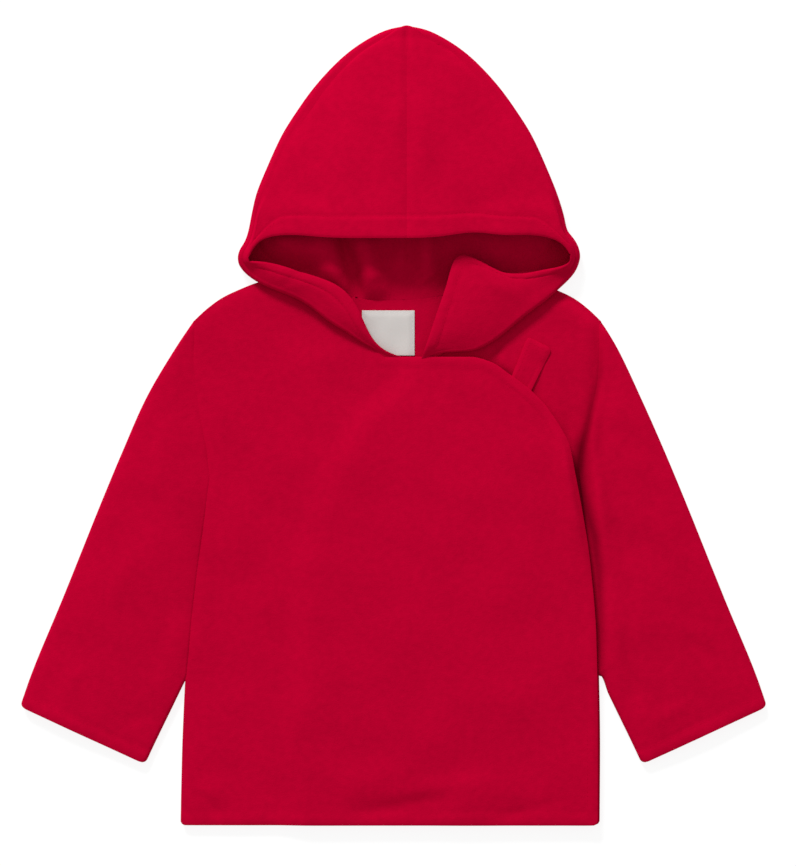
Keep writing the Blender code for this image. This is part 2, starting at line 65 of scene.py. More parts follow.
# Least height of the underlap over the back, and the overlap's air over what it lies on
LAYER_LEAST = 1.2
OVERLAP_AIR = 0.25

# The body leans a little: where its middle lies at the top and at the hem: x, y
HEM_Y = -288.0
LEAN_TOP = (3.0, 90.0)
LEAN_HEM = (-2.5, HEM_Y)
# Neckline: half its width, the nape's place, and how round the curve between them is
NECK_HALF = 76.0
NAPE = (-4.0, 92.0)
NECK_POWER = 2.2

# Crown of the chest: height, half width of its level middle, fall beside it, rise
# from the hem, where it begins to fall towards the neck, and the length of that fall
CROWN = 1.6
CROWN_HALF = 60.0
CROWN_SIDE = 80.0
CROWN_RISE = 90.0
CROWN_END_Y = -30.0
CROWN_FALL = 70.0

# Half outline of the body, from the neck to the shoulder's end: x, y
SHOULDER = (
    (NECK_HALF, 109.0), (101.0, 103.0), (115.0, 97.5), (126.6, 91.9),
    (138.0, 83.5), (147.0, 75.0),
)
# From the shoulder's end to the underarm: x, y
ARMHOLE = (
    (147.0, 75.0), (147.0, 55.0), (145.0, 30.0), (141.0, 5.0),
    (137.0, -15.0), (135.0, -31.0),
)
# From the underarm to the hem: x, y
SIDE = (
    (135.0, -31.0), (137.5, -54.0), (142.0, -97.0), (146.0, -140.0),
    (149.0, -180.0), (150.5, -230.0), (151.0, HEM_Y),
)
# The overlap's free edge, from the foot of the hood's right half to the hem: x, y
WRAP_TOP = (
    (-7.0, 49.6), (20.0, 49.4), (55.0, 49.4), (69.6, 45.8), (84.0, 36.4),
    (98.4, 25.6), (109.3, 14.8),
)
WRAP_SIDE = (
    (109.3, 14.8), (119.0, 0.4), (126.2, -14.0), (130.6, -35.7), (135.2, -60.0),
    (141.2, -97.0), (145.8, -150.0), (147.0, -212.0), (147.0, HEM_Y),
)
# The underlap's hidden free edge, from the foot of the hood's left half to the hem
UNDERLAP_EDGE = (
    (34.0, 50.8), (20.0, 30.0), (-8.0, 0.0), (-35.0, -50.0), (-50.0, -120.0), (-58.0, HEM_Y),
)

# Soft folds of the chest: start x, y, end x, y, half width, height
CHEST_FOLDS = (
    (-45.0, -268.0, 20.0, -246.0, 13.0, 1.2),
    (30.0, -272.0, 105.0, -258.0, 12.0, 1.0),
    (-148.0, -280.0, -118.0, -252.0, 10.0, 1.2),
)

# Sleeve, outer edge from the shoulder's end to the cuff: x, y
SLEEVE_OUTER = (
    (150.5, 74.0), (161.0, 54.4), (178.0, 18.4), (194.0, -17.7), (209.0, -53.7),
    (238.0, -125.8), (260.4, -180.0), (268.4, -203.0),
)
# Sleeve, inner edge below the point where it leaves the body: x, y
SLEEVE_INNER_FREE = (
    (149.5, -180.0), (156.0, -193.5), (163.5, -209.0), (172.0, -226.5), (180.0, -243.5),
)
# Sleeve: distance between its layers, the share of its length that it takes to come to
# that, height of its crown, how full the crown is, how much flatter it gets, and from
# which share of the length, and how deep a crease may be
SLEEVE_FOLD_RISE = 3.6
SLEEVE_BEGIN = 0.2
SLEEVE_CROWN = 2.2
SLEEVE_FULLNESS = 0.7
SLEEVE_FLATTER = 0.45
SLEEVE_FLATTER_FROM = 0.7
SLEEVE_SINK = -2.4
# How far the sleeve's edges keep off the body's side, or run into it, run under the
# shoulder and swell out below the wearer's right shoulder, where along the armhole the
# draw towards the shoulder begins, and half the height over which a layer is told apart
SIDE_GAP = -0.3
SHOULDER_TUCK = 1.0
RIGHT_EASE = 4.0
SHOULDER_DRAW = -1.2
LAYER_EASE = 1.0

# Where the hood's front seam runs
HOOD_MIDDLE = 9.5
# Hood, from the peak down to where its two sides differ: y in the middle, half
# width, height in the middle, height at the side, how far the side lies lower in y
HOOD_TOP = (
    (288.1, 3.0, 1.8, 1.7, 0.3),
    (287.8, 8.0, 4.6, 4.4, 0.9),
    (286.4, 16.0, 6.9, 6.4, 1.7),
    (279.5, 30.0, 7.6, 6.8, 2.0),
    (276.0, 43.5, 8.6, 6.8, 8.0),
    (268.0, 57.0, 10.0, 7.5, 13.0),
    (257.0, 69.0, 11.6, 8.2, 16.0),
    (242.0, 79.5, 13.8, 9.4, 16.0),
    (225.0, 89.0, 16.1, 10.8, 14.0),
    (206.0, 95.3, 18.3, 12.2, 8.0),
    (187.0, 102.2, 20.0, 13.2, 5.0),
    (169.0, 108.6, 21.6, 14.0, 3.0),
)
# Rows round the opening's corner, down to the forehead edge: y and height in the
# middle, start of the side's strip x, y, z, outline x, y, z, power of the droop,
# foot on the table x, y, y at the back's seam
CORNER_RIGHT = (
    (156.0, 22.8, -96.5, 151.5, 16.6, -102.5, 150.6, 11.5, 6.0, -96.0, 150.0, 152.0),
    (147.0, 23.6, -98.6, 141.0, 16.6, -104.8, 139.0, 11.5, 8.0, -97.0, 141.0, 141.0),
    (140.5, 24.1, -100.6, 133.0, 16.4, -107.4, 132.0, 11.5, 11.0, -97.0, 134.0, 131.0),
    (137.0, 24.4, -102.6, 127.0, 16.0, -111.0, 126.3, 11.0, 15.0, -96.0, 129.0, 124.0),
    (134.2, 24.5, -104.2, 121.0, 15.4, -112.3, 121.0, 10.5, 19.0, -93.5, 125.0, 118.0),
)
CORNER_LEFT = (
    (156.0, 22.8, 117.0, 150.5, 16.6, 122.9, 150.6, 11.5, 6.0, 116.0, 150.0, 152.0),
    (147.0, 23.6, 119.3, 142.0, 16.6, 125.0, 140.6, 11.5, 8.0, 117.0, 141.0, 141.0),
    (140.5, 24.1, 122.6, 134.8, 16.4, 129.9, 134.6, 11.5, 11.0, 117.0, 134.0, 131.0),
    (137.0, 24.4, 125.4, 129.0, 16.0, 133.5, 127.8, 11.0, 15.0, 115.0, 129.5, 124.0),
    (134.2, 24.5, 127.0, 123.0, 15.4, 134.5, 122.0, 10.5, 19.0, 111.0, 125.5, 118.0),
)
# Rows beside the opening: free edge x, y, z, outer edge x, y, z, height of the
# layer turned under, swell between the edges, foot on the table x, y and y at the
# back's seam, or share along the front neckline
LIP_RIGHT = (
    (-103.0, 117.2, 14.2, -111.6, 116.3, 9.6, 1.0, 0.6, -89.5, 121.5, 112.5),
    (-95.0, 117.2, 13.8, -107.9, 110.8, 9.2, 1.0, 0.9, -85.0, 118.0, 107.0),
    (-84.5, 115.4, 13.2, -101.5, 105.4, 9.8, 5.0, 1.2, -79.5, 114.0, 101.5),
    (-74.5, 112.5, 13.0, -92.5, 100.4, 10.6, 6.3, 1.3, -72.9, 110.2, 92.4),
    (-61.5, 108.4, 12.8, -80.5, 95.6, 10.8, 6.3, 1.3, 0.12, None, None),
    (-49.0, 104.2, 12.8, -69.0, 90.8, 10.8, 6.3, 1.3, 0.26, None, None),
    (-39.0, 99.4, 12.7, -58.0, 84.0, 10.7, 6.3, 1.3, 0.42, None, None),
    (-30.5, 91.2, 12.4, -46.8, 74.6, 10.4, 6.3, 1.2, 0.58, None, None),
    (-24.6, 81.2, 11.8, -34.6, 67.6, 9.8, 6.3, 1.0, 0.74, None, None),
    (-20.0, 70.6, 10.4, -24.2, 60.6, 8.2, 6.1, 0.6, 0.88, None, None),
    (-13.8, 60.2, 8.4, -14.8, 55.4, 7.0, 5.6, 0.2, 0.96, None, None),
    (-5.0, 53.2, 6.2, -5.6, 50.6, 5.6, 4.9, 0.1, 1.0, None, None),
    (6.0, 49.4, 4.2, 5.0, 47.6, 3.9, 3.6, 0.0, 1.0, None, None),
)
LIP_LEFT = (
    (126.4, 117.4, 14.2, 133.6, 117.0, 9.6, 1.0, 0.6, 106.0, 122.0, 112.5),
    (120.0, 113.6, 13.0, 130.8, 110.6, 9.2, 1.0, 0.8, 98.5, 118.5, 107.0),
    (106.5, 111.2, 11.4, 125.6, 104.4, 9.0, 1.0, 1.0, 90.0, 114.5, 101.5),
    (92.0, 108.4, 10.2, 118.8, 98.1, 9.4, 6.3, 1.2, 80.2, 110.2, 92.4),
    (80.5, 108.8, 10.4, 112.0, 91.9, 9.8, 6.3, 1.4, 0.10, None, None),
    (70.3, 113.0, 10.8, 105.5, 86.8, 10.0, 6.3, 1.6, 0.20, None, None),
    (60.0, 118.6, 11.2, 99.0, 82.1, 10.2, 6.3, 1.8, 0.30, None, None),
    (50.6, 122.4, 11.4, 93.0, 77.4, 10.2, 6.3, 2.0, 0.40, None, None),
    (44.4, 119.8, 11.8, 87.0, 72.3, 10.2, 6.3, 2.0, 0.50, None, None),
    (41.2, 111.8, 12.4, 80.5, 66.9, 10.0, 6.3, 2.0, 0.60, None, None),
    (38.3, 101.0, 12.6, 73.5, 61.6, 9.8, 6.3, 1.8, 0.70, None, None),
    (34.4, 89.5, 12.2, 65.5, 56.9, 9.4, 6.3, 1.6, 0.80, None, None),
    (30.2, 77.0, 12.0, 54.5, 53.3, 8.5, 6.3, 1.2, 0.90, None, None),
    (26.2, 65.0, 11.4, 40.0, 52.9, 8.4, 6.3, 0.6, 0.96, None, None),
    (23.0, 56.4, 9.8, 27.0, 50.4, 7.4, 5.8, 0.2, 1.0, None, None),
    (20.5, 48.6, 6.6, 22.5, 46.0, 5.4, 4.8, 0.0, 1.0, None, None),
)
# Upright folds inside the hood's back: start x, y, end x, y, half width, height
HOOD_FOLDS = (
    (-92.0, 136.0, -48.0, 124.0, 8.0, 5.0),
    (-190.0, 144.0, 210.0, 144.0, 16.0, 5.0),
    (-57.0, 162.0, -31.0, 62.0, 11.0, 8.0),
    (-29.5, 162.0, -4.0, 62.0, 10.0, 9.5),
    (-44.0, 162.0, -16.0, 62.0, 4.5, -8.0),
    (6.0, 156.0, 4.0, 108.0, 3.5, 3.0),
    (20.0, 160.0, 26.0, 96.0, 7.0, 7.5),
    (70.0, 146.0, 78.0, 116.0, 9.0, 3.0),
)
# Waves of the forehead edge: x, half width, rise in y
FOREHEAD_WAVES = ((-76.0, 24.0, 2.6), (58.0, 22.0, 4.0), (98.0, 18.0, 2.4))
# How far a wave of the forehead edge reaches up the hood
WAVE_REACH = 22.0
# How far a turned edge of the hood reaches past its layers, how far from it the creases
# end, the width and swell of the strip beside it, and the strip's rise to its start
TURN_REACH = 3.4
TURN_CALM = 7.0
STRIP_WIDTH = 3.6
STRIP_SWELL = -0.15
STRIP_RISE = 0.6
# How much the strip turns level at the peak, how fast that fades from row to row, and
# up to which half width it is narrower
PEAK_TURN = 4.0
PEAK_FADE = 0.6
PEAK_WIDTH = 12.0
# How the front droops to its sides, and the back's side against its middle
TOP_DROOP = 3.0
BACK_DROP = 1.4
# Gap between the halves and to the back's neckline, less than 0 as they run into each
# other, their rise over the fronts there, and how soon the edge follows the neckline
SEAM_OFFSET = -1.6
NECK_RISE = 0.6
NECK_EASE = 7.0
# Share of the layer below that stays level, past the turned edge
UNDER_LEVEL = 0.55
# How the front's columns draw together towards the strip, and how the strip falls
COLUMN_POWER = 1.5
STRIP_POWER = 1.5
# Above the neck seam: where the folds begin, and over which length they rise
FOLD_FOOT = 1.0
FOLD_RISE = 11.0

# Rows and columns of the sheets, and points of a long line
FRONT_COLUMNS = 44
STRIP_COLUMNS = 22
TURN_COLUMNS = 10
UNDER_COLUMNS = 14
BACK_COLUMNS = 40
ROWS_BETWEEN = 6
PANEL_ROWS = 150
SHOULDER_COLUMNS = 26
NECK_COLUMNS = 44
WRAP_COLUMNS = 56
SLEEVE_ROWS = 110
SLEEVE_ACROSS = 44
SLEEVE_ROUND = 8
CUFF_ROWS = 12
TAB_ROWS = 36
TAB_COLUMNS = 26
LABEL_ROWS = 36
LABEL_COLUMNS = 40
LINE_POINTS = 120
SIDE_POINTS = 60
SHOULDER_POINTS = 20
WRAP_POINTS = 40
UNDERLAP_POINTS = 80
LABEL_POINTS = 20
FINE_POINTS = 60
# Least length that a direction is divided by
LEAST_LENGTH = 1e-9
# Rounds of easing over the hood's rows, and the strength of each
EASE_ROUNDS = 6
EASE = 0.25

# Tab: corners on the underlap, from the wrap edge outwards: x, y
TAB_ROOT = ((85.6, 36.6), (99.6, 26.4))
TAB_END = ((96.6, 64.0), (114.0, 55.4))
TAB_WALL = 1.6
TAB_WIDTH = 18.0
# How far it runs under the wrap edge, its air over the underlap, and how far its edges
# sink, over which width
TAB_TUCK = 2.0
TAB_AIR = 0.1
TAB_SOFT = 0.9
TAB_SOFT_WIDTH = 4.0
# How far round its root they don't sink, and over which distance that fades
TAB_ROOT_FAR = 22.4
TAB_ROOT_FADE = 14.0
# How its rounding fades from its end, its band and unevenness against other cloth's,
# and the points left out of its stitch line at its root and at each corner
TAB_ROUND_POWER = 6
TAB_BAND_SHARE = 0.5
TAB_UNEVEN = 0.8
TAB_ROOT_SKIP = 6
TAB_CORNER_SKIP = 3

# Neck label: its place and size, its wall and the rounding of its edges, where it is
# stitched, its air over the back, its puff and over which width, and its unevenness
LABEL_CENTRE_X = -3.8
LABEL_WIDTH = 38.0
LABEL_TOP_Y = 83.0
LABEL_FOOT_Y = 50.4
LABEL_WALL = 0.4
LABEL_RIM = 0.2
LABEL_EDGE = 1.6
LABEL_AIR = 0.15
LABEL_PUFF = 0.5
LABEL_PUFF_WIDTH = 5.0
LABEL_CALM = 8.0
LABEL_UNEVEN = 0.5
LABEL_THREAD = (0.6, 0.57, 0.55, 1.0)

# Creases of the overlap, as soft ridges and troughs: start x, y, end x, y, half width, height
OVERLAP_CREASES = (
    (-42.0, -282.0, 52.0, -264.0, 5.0, -0.7),
    (-30.0, -270.0, 88.0, -252.0, 7.0, 0.8),
    (70.0, -284.0, 128.0, -268.0, 4.5, -0.6),
    (-148.0, -262.0, -118.0, -284.0, 4.0, -0.7),
    (-122.0, -30.0, -78.0, -70.0, 10.0, -0.6),
    (-130.0, 20.0, -96.0, -20.0, 9.0, 0.6),
    (-60.0, 60.0, -20.0, 20.0, 9.0, 0.5),
    (112.0, 50.0, 142.0, -120.0, 7.5, 2.4),
    (121.0, -8.0, 134.0, -96.0, 6.0, 2.2),
    (112.0, -60.0, 128.0, -170.0, 9.0, -0.6),
    (40.0, 20.0, 70.0, -50.0, 12.0, -0.5),
    (-20.0, -90.0, 30.0, -190.0, 14.0, 0.5),
)
# Creases of the underlap beside the wrap edge
UNDERLAP_CREASES = (
    (125.0, 60.0, 148.0, -180.0, 8.0, -3.4),
    (128.0, 12.0, 138.0, -120.0, 9.0, -4.0),
    (78.0, 60.0, 66.0, 38.0, 3.5, -1.6),
    (58.0, 50.0, 96.0, 28.0, 3.5, -1.6),
)
# Painted shade: lines along which the cloth lies deep between two banks, where the fleece's colour is
# darkened to stand in for the shade inside the crevice, each as rows of x, y, half width and how much
# darker the colour is painted. The value is stored in the point attribute named on the next line, on points
# above the level after it
PAINTED_SHADE = "painted_shade"
PAINTED_SHADE_LEVEL = 1.2
PAINTED_SHADE_LINES = (
    (
        (149.0, 66.0, 2.4, 0.0),
        (149.0, 39.7, 2.6, 0.25),
        (142.9, 13.2, 3.0, 0.4),
        (139.6, -1.1, 3.4, 0.5),
        (135.2, -15.5, 4.4, 0.66),
        (133.0, -32.0, 5.0, 0.78),
        (134.5, -46.0, 4.8, 0.68),
        (138.6, -62.0, 4.4, 0.55),
        (144.6, -80.0, 4.0, 0.45),
        (147.4, -102.0, 3.4, 0.36),
        (149.6, -171.0, 2.6, 0.2),
        (150.4, -205.0, 2.4, 0.0),
    ),
    ((75.0, 48.5, 2.4, 0.1), (71.0, 42.0, 2.6, 0.35), (84.0, 35.6, 2.6, 0.35)),
    ((105.5, 34.0, 2.4, 0.0), (99.5, 23.4, 2.8, 0.35)),
)
# Creases of the back, which the fronts hide
BACK_CREASES = (
    (-120.0, -200.0, -60.0, -150.0, 9.0, 0.25),
    (70.0, -230.0, 120.0, -170.0, 9.0, 0.25),
)
# Creases of the sleeves' tops, as if both lay at +x
LEFT_SLEEVE_CREASES = (
    (163.0, -140.0, 178.0, -212.0, 5.0, -1.4),
    (171.0, -128.0, 190.0, -205.0, 6.0, 0.9),
    (152.0, -62.0, 174.0, -104.0, 6.0, -0.9),
    (190.0, -60.0, 212.0, -112.0, 8.0, 0.8),
    (158.0, 8.0, 176.0, -28.0, 7.0, -0.8),
    (136.0, 60.0, 152.0, -110.0, 5.5, 3.2),
    (143.0, 20.0, 166.0, -190.0, 9.0, 2.0),
    (138.0, 0.0, 153.0, -220.0, 6.0, -2.4),
    (205.0, -150.0, 236.0, -172.0, 6.0, -0.7),
    (186.0, -216.0, 216.0, -196.0, 5.0, 0.6),
)
RIGHT_SLEEVE_CREASES = (
    (158.0, -120.0, 176.0, -190.0, 8.0, -0.5),
    (186.0, -80.0, 206.0, -140.0, 9.0, 0.6),
    (160.0, 20.0, 180.0, -20.0, 8.0, -0.5),
    (170.0, -206.0, 200.0, -216.0, 5.0, -0.5),
    (222.0, -170.0, 240.0, -200.0, 6.0, 0.5),
)
# Creases of the hood's front: start x, y, end x, y, half width, height
HOOD_CREASES = (
    (3.0, 236.0, -6.0, 172.0, 7.0, 1.1),
    (18.0, 240.0, 25.0, 176.0, 7.0, 1.1),
    (-40.0, 236.0, -62.0, 176.0, 12.0, -0.7),
    (60.0, 232.0, 78.0, 180.0, 12.0, -0.7),
    (-72.0, 168.0, -30.0, 154.0, 6.0, -0.5),
    (50.0, 156.0, 92.0, 164.0, 6.0, -0.5),
)
# Creases of the hood's turned-back edges
LIP_CREASES = (
    (-98.0, 122.0, -72.0, 132.0, 4.0, 0.6),
    (-80.0, 98.0, -62.0, 116.0, 3.5, -0.5),
    (112.0, 118.0, 60.0, 124.0, 5.0, -0.6),
    (96.0, 92.0, 62.0, 104.0, 5.0, 0.6),
)
# Gentle unevenness of every sheet: waves per metre in x and y, phase, height
UNEVEN = (
    (11.0, 5.0, 0.4, 0.22),
    (-7.0, 13.0, 2.1, 0.2),
    (19.0, -9.0, 4.4, 0.12),
    (5.0, 27.0, 1.3, 0.08),
    (31.0, 17.0, 5.2, 0.06),
)

# How near an edge the unevenness and the creases die down, on each kind of sheet, and
# the share of them that the overlap keeps at its edges
EDGE_CALM = 6.0
UNDERLAP_CALM = 8.0
HOOD_CALM = 10.0
BACK_CALM = 20.0
OVERLAP_KEPT = 0.35
UNDERLAP_UNEVEN = 0.3

# Widths of the turned-up edges, from the edge to the stitch line
HEM_BAND = 8.6
CUFF_BAND = 8.7
WRAP_BAND = 7.4
HOOD_BAND = 15.0
LIP_BAND = 7.5
TAB_BAND = 3.2
# Rise of such an edge, the width of its step at the stitch line and of its rounded lip
BAND_RISE = 0.4
BAND_STEP = 1.5
BAND_LIP = 1.6
# Where the forehead's wide band begins to narrow before the corner, and over which width
NARROW_BEFORE = 26.0
NARROW_WIDTH = 22.0
# A distance past every band and crease
FAR = 100.0
# How deep a stitch line draws the cloth in, and half the groove's width
STITCH_DIP = 0.35
STITCH_DIP_HALF = 1.3
# Side and armhole seams: how deep the cloth sinks, the height of the bank beside it and
# the width of both, for the wearer's right and left, and the bank's place and half width
RIGHT_SEAM = (0.6, 0.1, 6.0)
LEFT_SEAM = (2.0, 0.4, 9.0)
BANK_AWAY = 4.0
BANK_HALF = 6.0
# Seam between the hood's halves: depth and half width
HOOD_SEAM_DIP = 1.0
HOOD_SEAM_HALF = 2.6
# Radius of the corners of the hem, the cuffs and the tab
CORNER_RADIUS = 3.4
# Stitches: pitch, length, thickness and how far they lie sunk in the nap
STITCH_PITCH = 3.1
STITCH_LENGTH = 2.1
STITCH_RADIUS = 0.22
STITCH_SUNK = 0.1
# Half length of the hem's stitch line, and the room that one needs beside an edge
HEM_STITCH_HALF = 149.0
STITCH_ROOM = 1.0

# The nap's darkest and lightest tone: place on the ramp, and share of the fleece's colour
NAP_TONES = ((0.25, 0.9), (0.75, 1.08))
WHITE = (1.0, 1.0, 1.0, 1.0)

# Stage, in metres, with the lens in millimetres
FLOOR_SIZE = 8.0
KEY_PLACE = (-2.0, 5.5, 3.2)
KEY_SIZE = (2.2, 1.2)
CAMERA_PLACE = (0.0032, -0.0054)
CAMERA_LENS = 144.1
CAMERA_REACH = 100.0


def monotone(knots, values, at):
    """Smooth interpolation of a table that never swings past its values."""
    step = np.diff(knots)
    slope = np.diff(values) / step
    before, after = slope[:-1], slope[1:]
    same_way = before * after > 0
    mean = np.where(same_way, before + after, 1.0)
    inner = np.where(same_way, 2 * before * after / mean, 0.0)
    tangent = np.concatenate([slope[:1], inner, slope[-1:]])
    cell = np.clip(np.searchsorted(knots, at, side="right") - 1, 0, len(step) - 1)
    t = (at - knots[cell]) / step[cell]
    start = (1 + 2 * t) * (1 - t) ** 2 * values[cell] + t * (1 - t) ** 2 * step[cell] * tangent[cell]
    end = t * t * (3 - 2 * t) * values[cell + 1] + t * t * (t - 1) * step[cell] * tangent[cell + 1]
    return start + end


def run_lengths(line):
    """Distance of each point of a line from its start, along the line."""
    steps = np.linalg.norm(np.diff(line, axis=0), axis=1)
    return np.concatenate([[0.0], np.cumsum(steps)])


def smooth_curve(points, count):
    """Points at equal steps along a smooth curve through the given ones."""
    points = np.asarray(points, float)
    knots = run_lengths(points)
    fine = np.linspace(0, knots[-1], FINE_POINTS * len(points))
    dense = np.column_stack([monotone(knots, column, fine) for column in points.T])
    runs = run_lengths(dense)
    steps = np.linspace(0, runs[-1], count)
    return np.column_stack([np.interp(steps, runs, column) for column in dense.T])


def smoothstep(t):
    """Eases from 0 to 1, level at both ends."""
    t = np.clip(t, 0.0, 1.0)
    return t * t * (3 - 2 * t)


def lerp(start, end, count):
    """Points at equal steps along a straight line, both ends included."""
    t = np.linspace(0, 1, count)[:, None]
    return (1 - t) * np.asarray(start, float) + t * np.asarray(end, float)


def leaned(points, side=1):
    """A half outline set on one side of the slightly leaning body."""
    points = np.array(points, float)
    points[:, 0] = side * points[:, 0] + np.interp(
        points[:, 1], (LEAN_HEM[1], LEAN_TOP[1]), (LEAN_HEM[0], LEAN_TOP[0])
    )
    return points


def fold_height(x, y, folds):
    """Height that the soft folds add at a place; each fades out over a third at either end."""
    total = np.zeros_like(np.asarray(x, float))
    for start_x, start_y, end_x, end_y, half_width, height in folds:
        along_x, along_y = end_x - start_x, end_y - start_y
        t = ((x - start_x) * along_x + (y - start_y) * along_y) / (along_x**2 + along_y**2)
        near = np.clip(t, 0.0, 1.0)
        away = np.hypot(x - start_x - near * along_x, y - start_y - near * along_y)
        total = total + height * np.exp(-((away / half_width) ** 2)) * smoothstep(1.5 - 3 * abs(t - 0.5))
    return total


def chest_height(x, y):
    """The chest's slight crown and its folds."""
    across = 1 - smoothstep((abs(x) - CROWN_HALF) / CROWN_SIDE)
    along = smoothstep((y - HEM_Y) / CROWN_RISE) * (1 - smoothstep((y - CROWN_END_Y) / CROWN_FALL))
    return CROWN * across * along + fold_height(x, y, CHEST_FOLDS)


def underlap_height(x, y):
    """Height of the underlap, which lies on the back, before it is dressed."""
    return FRONT_LEVEL + chest_height(x, y)


def overlap_height(x, y):
    """Height of the overlap, which steps up from the back to the underlap, before it is dressed."""
    edge = smooth_curve(UNDERLAP_EDGE, UNDERLAP_POINTS)[::-1]
    edge_x = np.interp(y, edge[:, 1], edge[:, 0])
    step = smoothstep((x - edge_x + LAP_SLOPE) / (LAP_SLOPE - LAP_LEVEL))
    return FRONT_LEVEL + LAP_STEP * step + chest_height(x, y)


def patch(bottom, top, left, right):
    """Grid of points between four edge curves that share their corners."""
    u = np.linspace(0, 1, len(bottom))[None, :, None]
    v = np.linspace(0, 1, len(left))[:, None, None]
    between_rows = (1 - v) * bottom[None] + v * top[None]
    between_columns = (1 - u) * left[:, None] + u * right[:, None]
    corners = (1 - v) * ((1 - u) * bottom[0] + u * bottom[-1]) + v * ((1 - u) * top[0] + u * top[-1])
    return between_rows + between_columns - corners


def round_corner(flat, side):
    """Eases one end of a sheet's hem into a quarter circle, the points near it with it."""
    corner, inward = flat[0, 0 if side < 0 else -1].copy(), np.array((-side, 1))
    near = 1 - (flat - corner) * inward / CORNER_RADIUS
    inside = (near > 0).all(axis=-1)
    eased = near * np.sqrt(1 - np.clip(near[..., ::-1], 0, 1) ** 2 / 2)
    flat[inside] = corner + (1 - eased[inside]) * inward * CORNER_RADIUS


def with_height(flat, height):
    """The points of a flat sheet, each at its height."""
    return np.dstack([flat, height(flat[..., 0], flat[..., 1])])


def neck_end(side):
    """Where the neckline meets the shoulder."""
    return leaned(SHOULDER[:1], side)[0]


def back_neck_y(x, side):
    """Height on the table of the back neckline's curve above a place across the body."""
    end_x, end_y = neck_end(side)
    share = np.clip((x - NAPE[0]) / (end_x - NAPE[0]), 0.0, 1.0)
    return NAPE[1] + (end_y - NAPE[1]) * share**NECK_POWER


def front_neckline(side, count):
    """From the shoulder's neck end to the foot of one front's neckline, a straight line."""
    return lerp(neck_end(side), WRAP_TOP[0] if side < 0 else UNDERLAP_EDGE[0], count)


def back_neckline(side, count):
    """From the shoulder's neck end to the nape, on one side of the body."""
    across = np.linspace(neck_end(side)[0], NAPE[0], count)
    return np.column_stack([across, back_neck_y(across, side)])


def turn(start, end, out, reach, count):
    """Points strictly inside a half ellipse from one layer to another, reaching out past them."""
    start, end = np.asarray(start, float), np.asarray(end, float)
    angles = np.linspace(0, np.pi, count + 2)[1:-1, None]
    middle = (start + end) / 2
    return middle + (start - end) / 2 * np.cos(angles) + np.array([*out, 0.0]) * reach * np.sin(angles)


def sleeve_ring(inner, outer, inward, outward, share):
    """A flattened ring across the sleeve, from the inner edge over the top and back.

    inward and outward point off its two edges, square to them.
    """
    begun = smoothstep(share / SLEEVE_BEGIN)
    flatter = SLEEVE_FLATTER * smoothstep((share - SLEEVE_FLATTER_FROM) / (1 - SLEEVE_FLATTER_FROM))
    at_armhole = FRONT_LEVEL - BACK_LEVEL
    rise = at_armhole + (SLEEVE_FOLD_RISE - at_armhole) * begun
    inner, outer = inner - inward * rise / 2, outer - outward * rise / 2
    t = np.linspace(0, 1, SLEEVE_ACROSS)
    top = lerp((*inner, BACK_LEVEL + rise), (*outer, BACK_LEVEL + rise), SLEEVE_ACROSS)
    top[:, 2] += SLEEVE_CROWN * begun * (1 - flatter) * np.sin(np.pi * t) ** SLEEVE_FULLNESS
    below = lerp((*outer, BACK_LEVEL), (*inner, BACK_LEVEL), SLEEVE_ACROSS)
    outer_turn = turn(top[-1], below[0], outward, rise / 2, SLEEVE_ROUND)
    inner_turn = turn(below[-1], top[0], inward, rise / 2, SLEEVE_ROUND)
    return np.concatenate([top, outer_turn, below, inner_turn])


def square_to(line, way):
    """Unit directions square to a line at each of its points, on the side of way."""
    along = np.gradient(line, axis=0)
    across = np.column_stack([along[:, 1], -along[:, 0]])
    across *= np.sign(across @ np.asarray(way, float))[:, None]
    return across / np.linalg.norm(across, axis=1)[:, None]


def uneven(x, y):
    """Gentle unevenness of the cloth at a place."""
    total = np.zeros_like(np.asarray(x, float))
    for across, along, phase, height in UNEVEN:
        total = total + height * np.sin(2 * np.pi * (across * x + along * y) * MM + phase)
    return total


def distance_to(x, y, line):
    """Distance in the plan from each place to a line of points."""
    near = np.full(x.shape, np.inf)
    start, way = line[:-1], np.diff(line, axis=0)
    for (start_x, start_y), (way_x, way_y) in zip(start, way):
        t = ((x - start_x) * way_x + (y - start_y) * way_y) / (way_x**2 + way_y**2)
        t = np.clip(t, 0.0, 1.0)
        near = np.minimum(near, np.hypot(x - start_x - t * way_x, y - start_y - t * way_y))
    return near


def band(away, width):
    """Height of a turned-up edge: thicker up to its stitch line, and drawn in there."""
    raised = BAND_RISE * smoothstep((width - away) / BAND_STEP + 0.5) * smoothstep(away / BAND_LIP)
    return raised - STITCH_DIP * np.exp(-(((away - width) / STITCH_DIP_HALF) ** 2))


def side_line(side, count=SIDE_POINTS):
    """The body's side, from the hem over the underarm to the shoulder's end."""
    return smooth_curve(leaned(SIDE[::-1] + ARMHOLE[::-1][1:], side), count)


def shoulder_line(side, count=SHOULDER_POINTS):
    """The shoulder, from the neck to its end."""
    return smooth_curve(leaned(SHOULDER, side), count)


def wrap_line():
    """The overlap's free edge, from the neck over the curve to the hem."""
    return np.concatenate([
        smooth_curve(WRAP_TOP, WRAP_POINTS), smooth_curve(WRAP_SIDE, SIDE_POINTS)[1:],
    ])


def seam_dip(away, side):
    """How a sheet sinks towards a seam and swells a little beside it, more on the wearer's left."""
    deep, bank, reach = LEFT_SEAM if side > 0 else RIGHT_SEAM
    swell = bank * np.exp(-(((away - reach - BANK_AWAY) / BANK_HALF) ** 2))
    return swell - deep * (1 - smoothstep(away / reach))


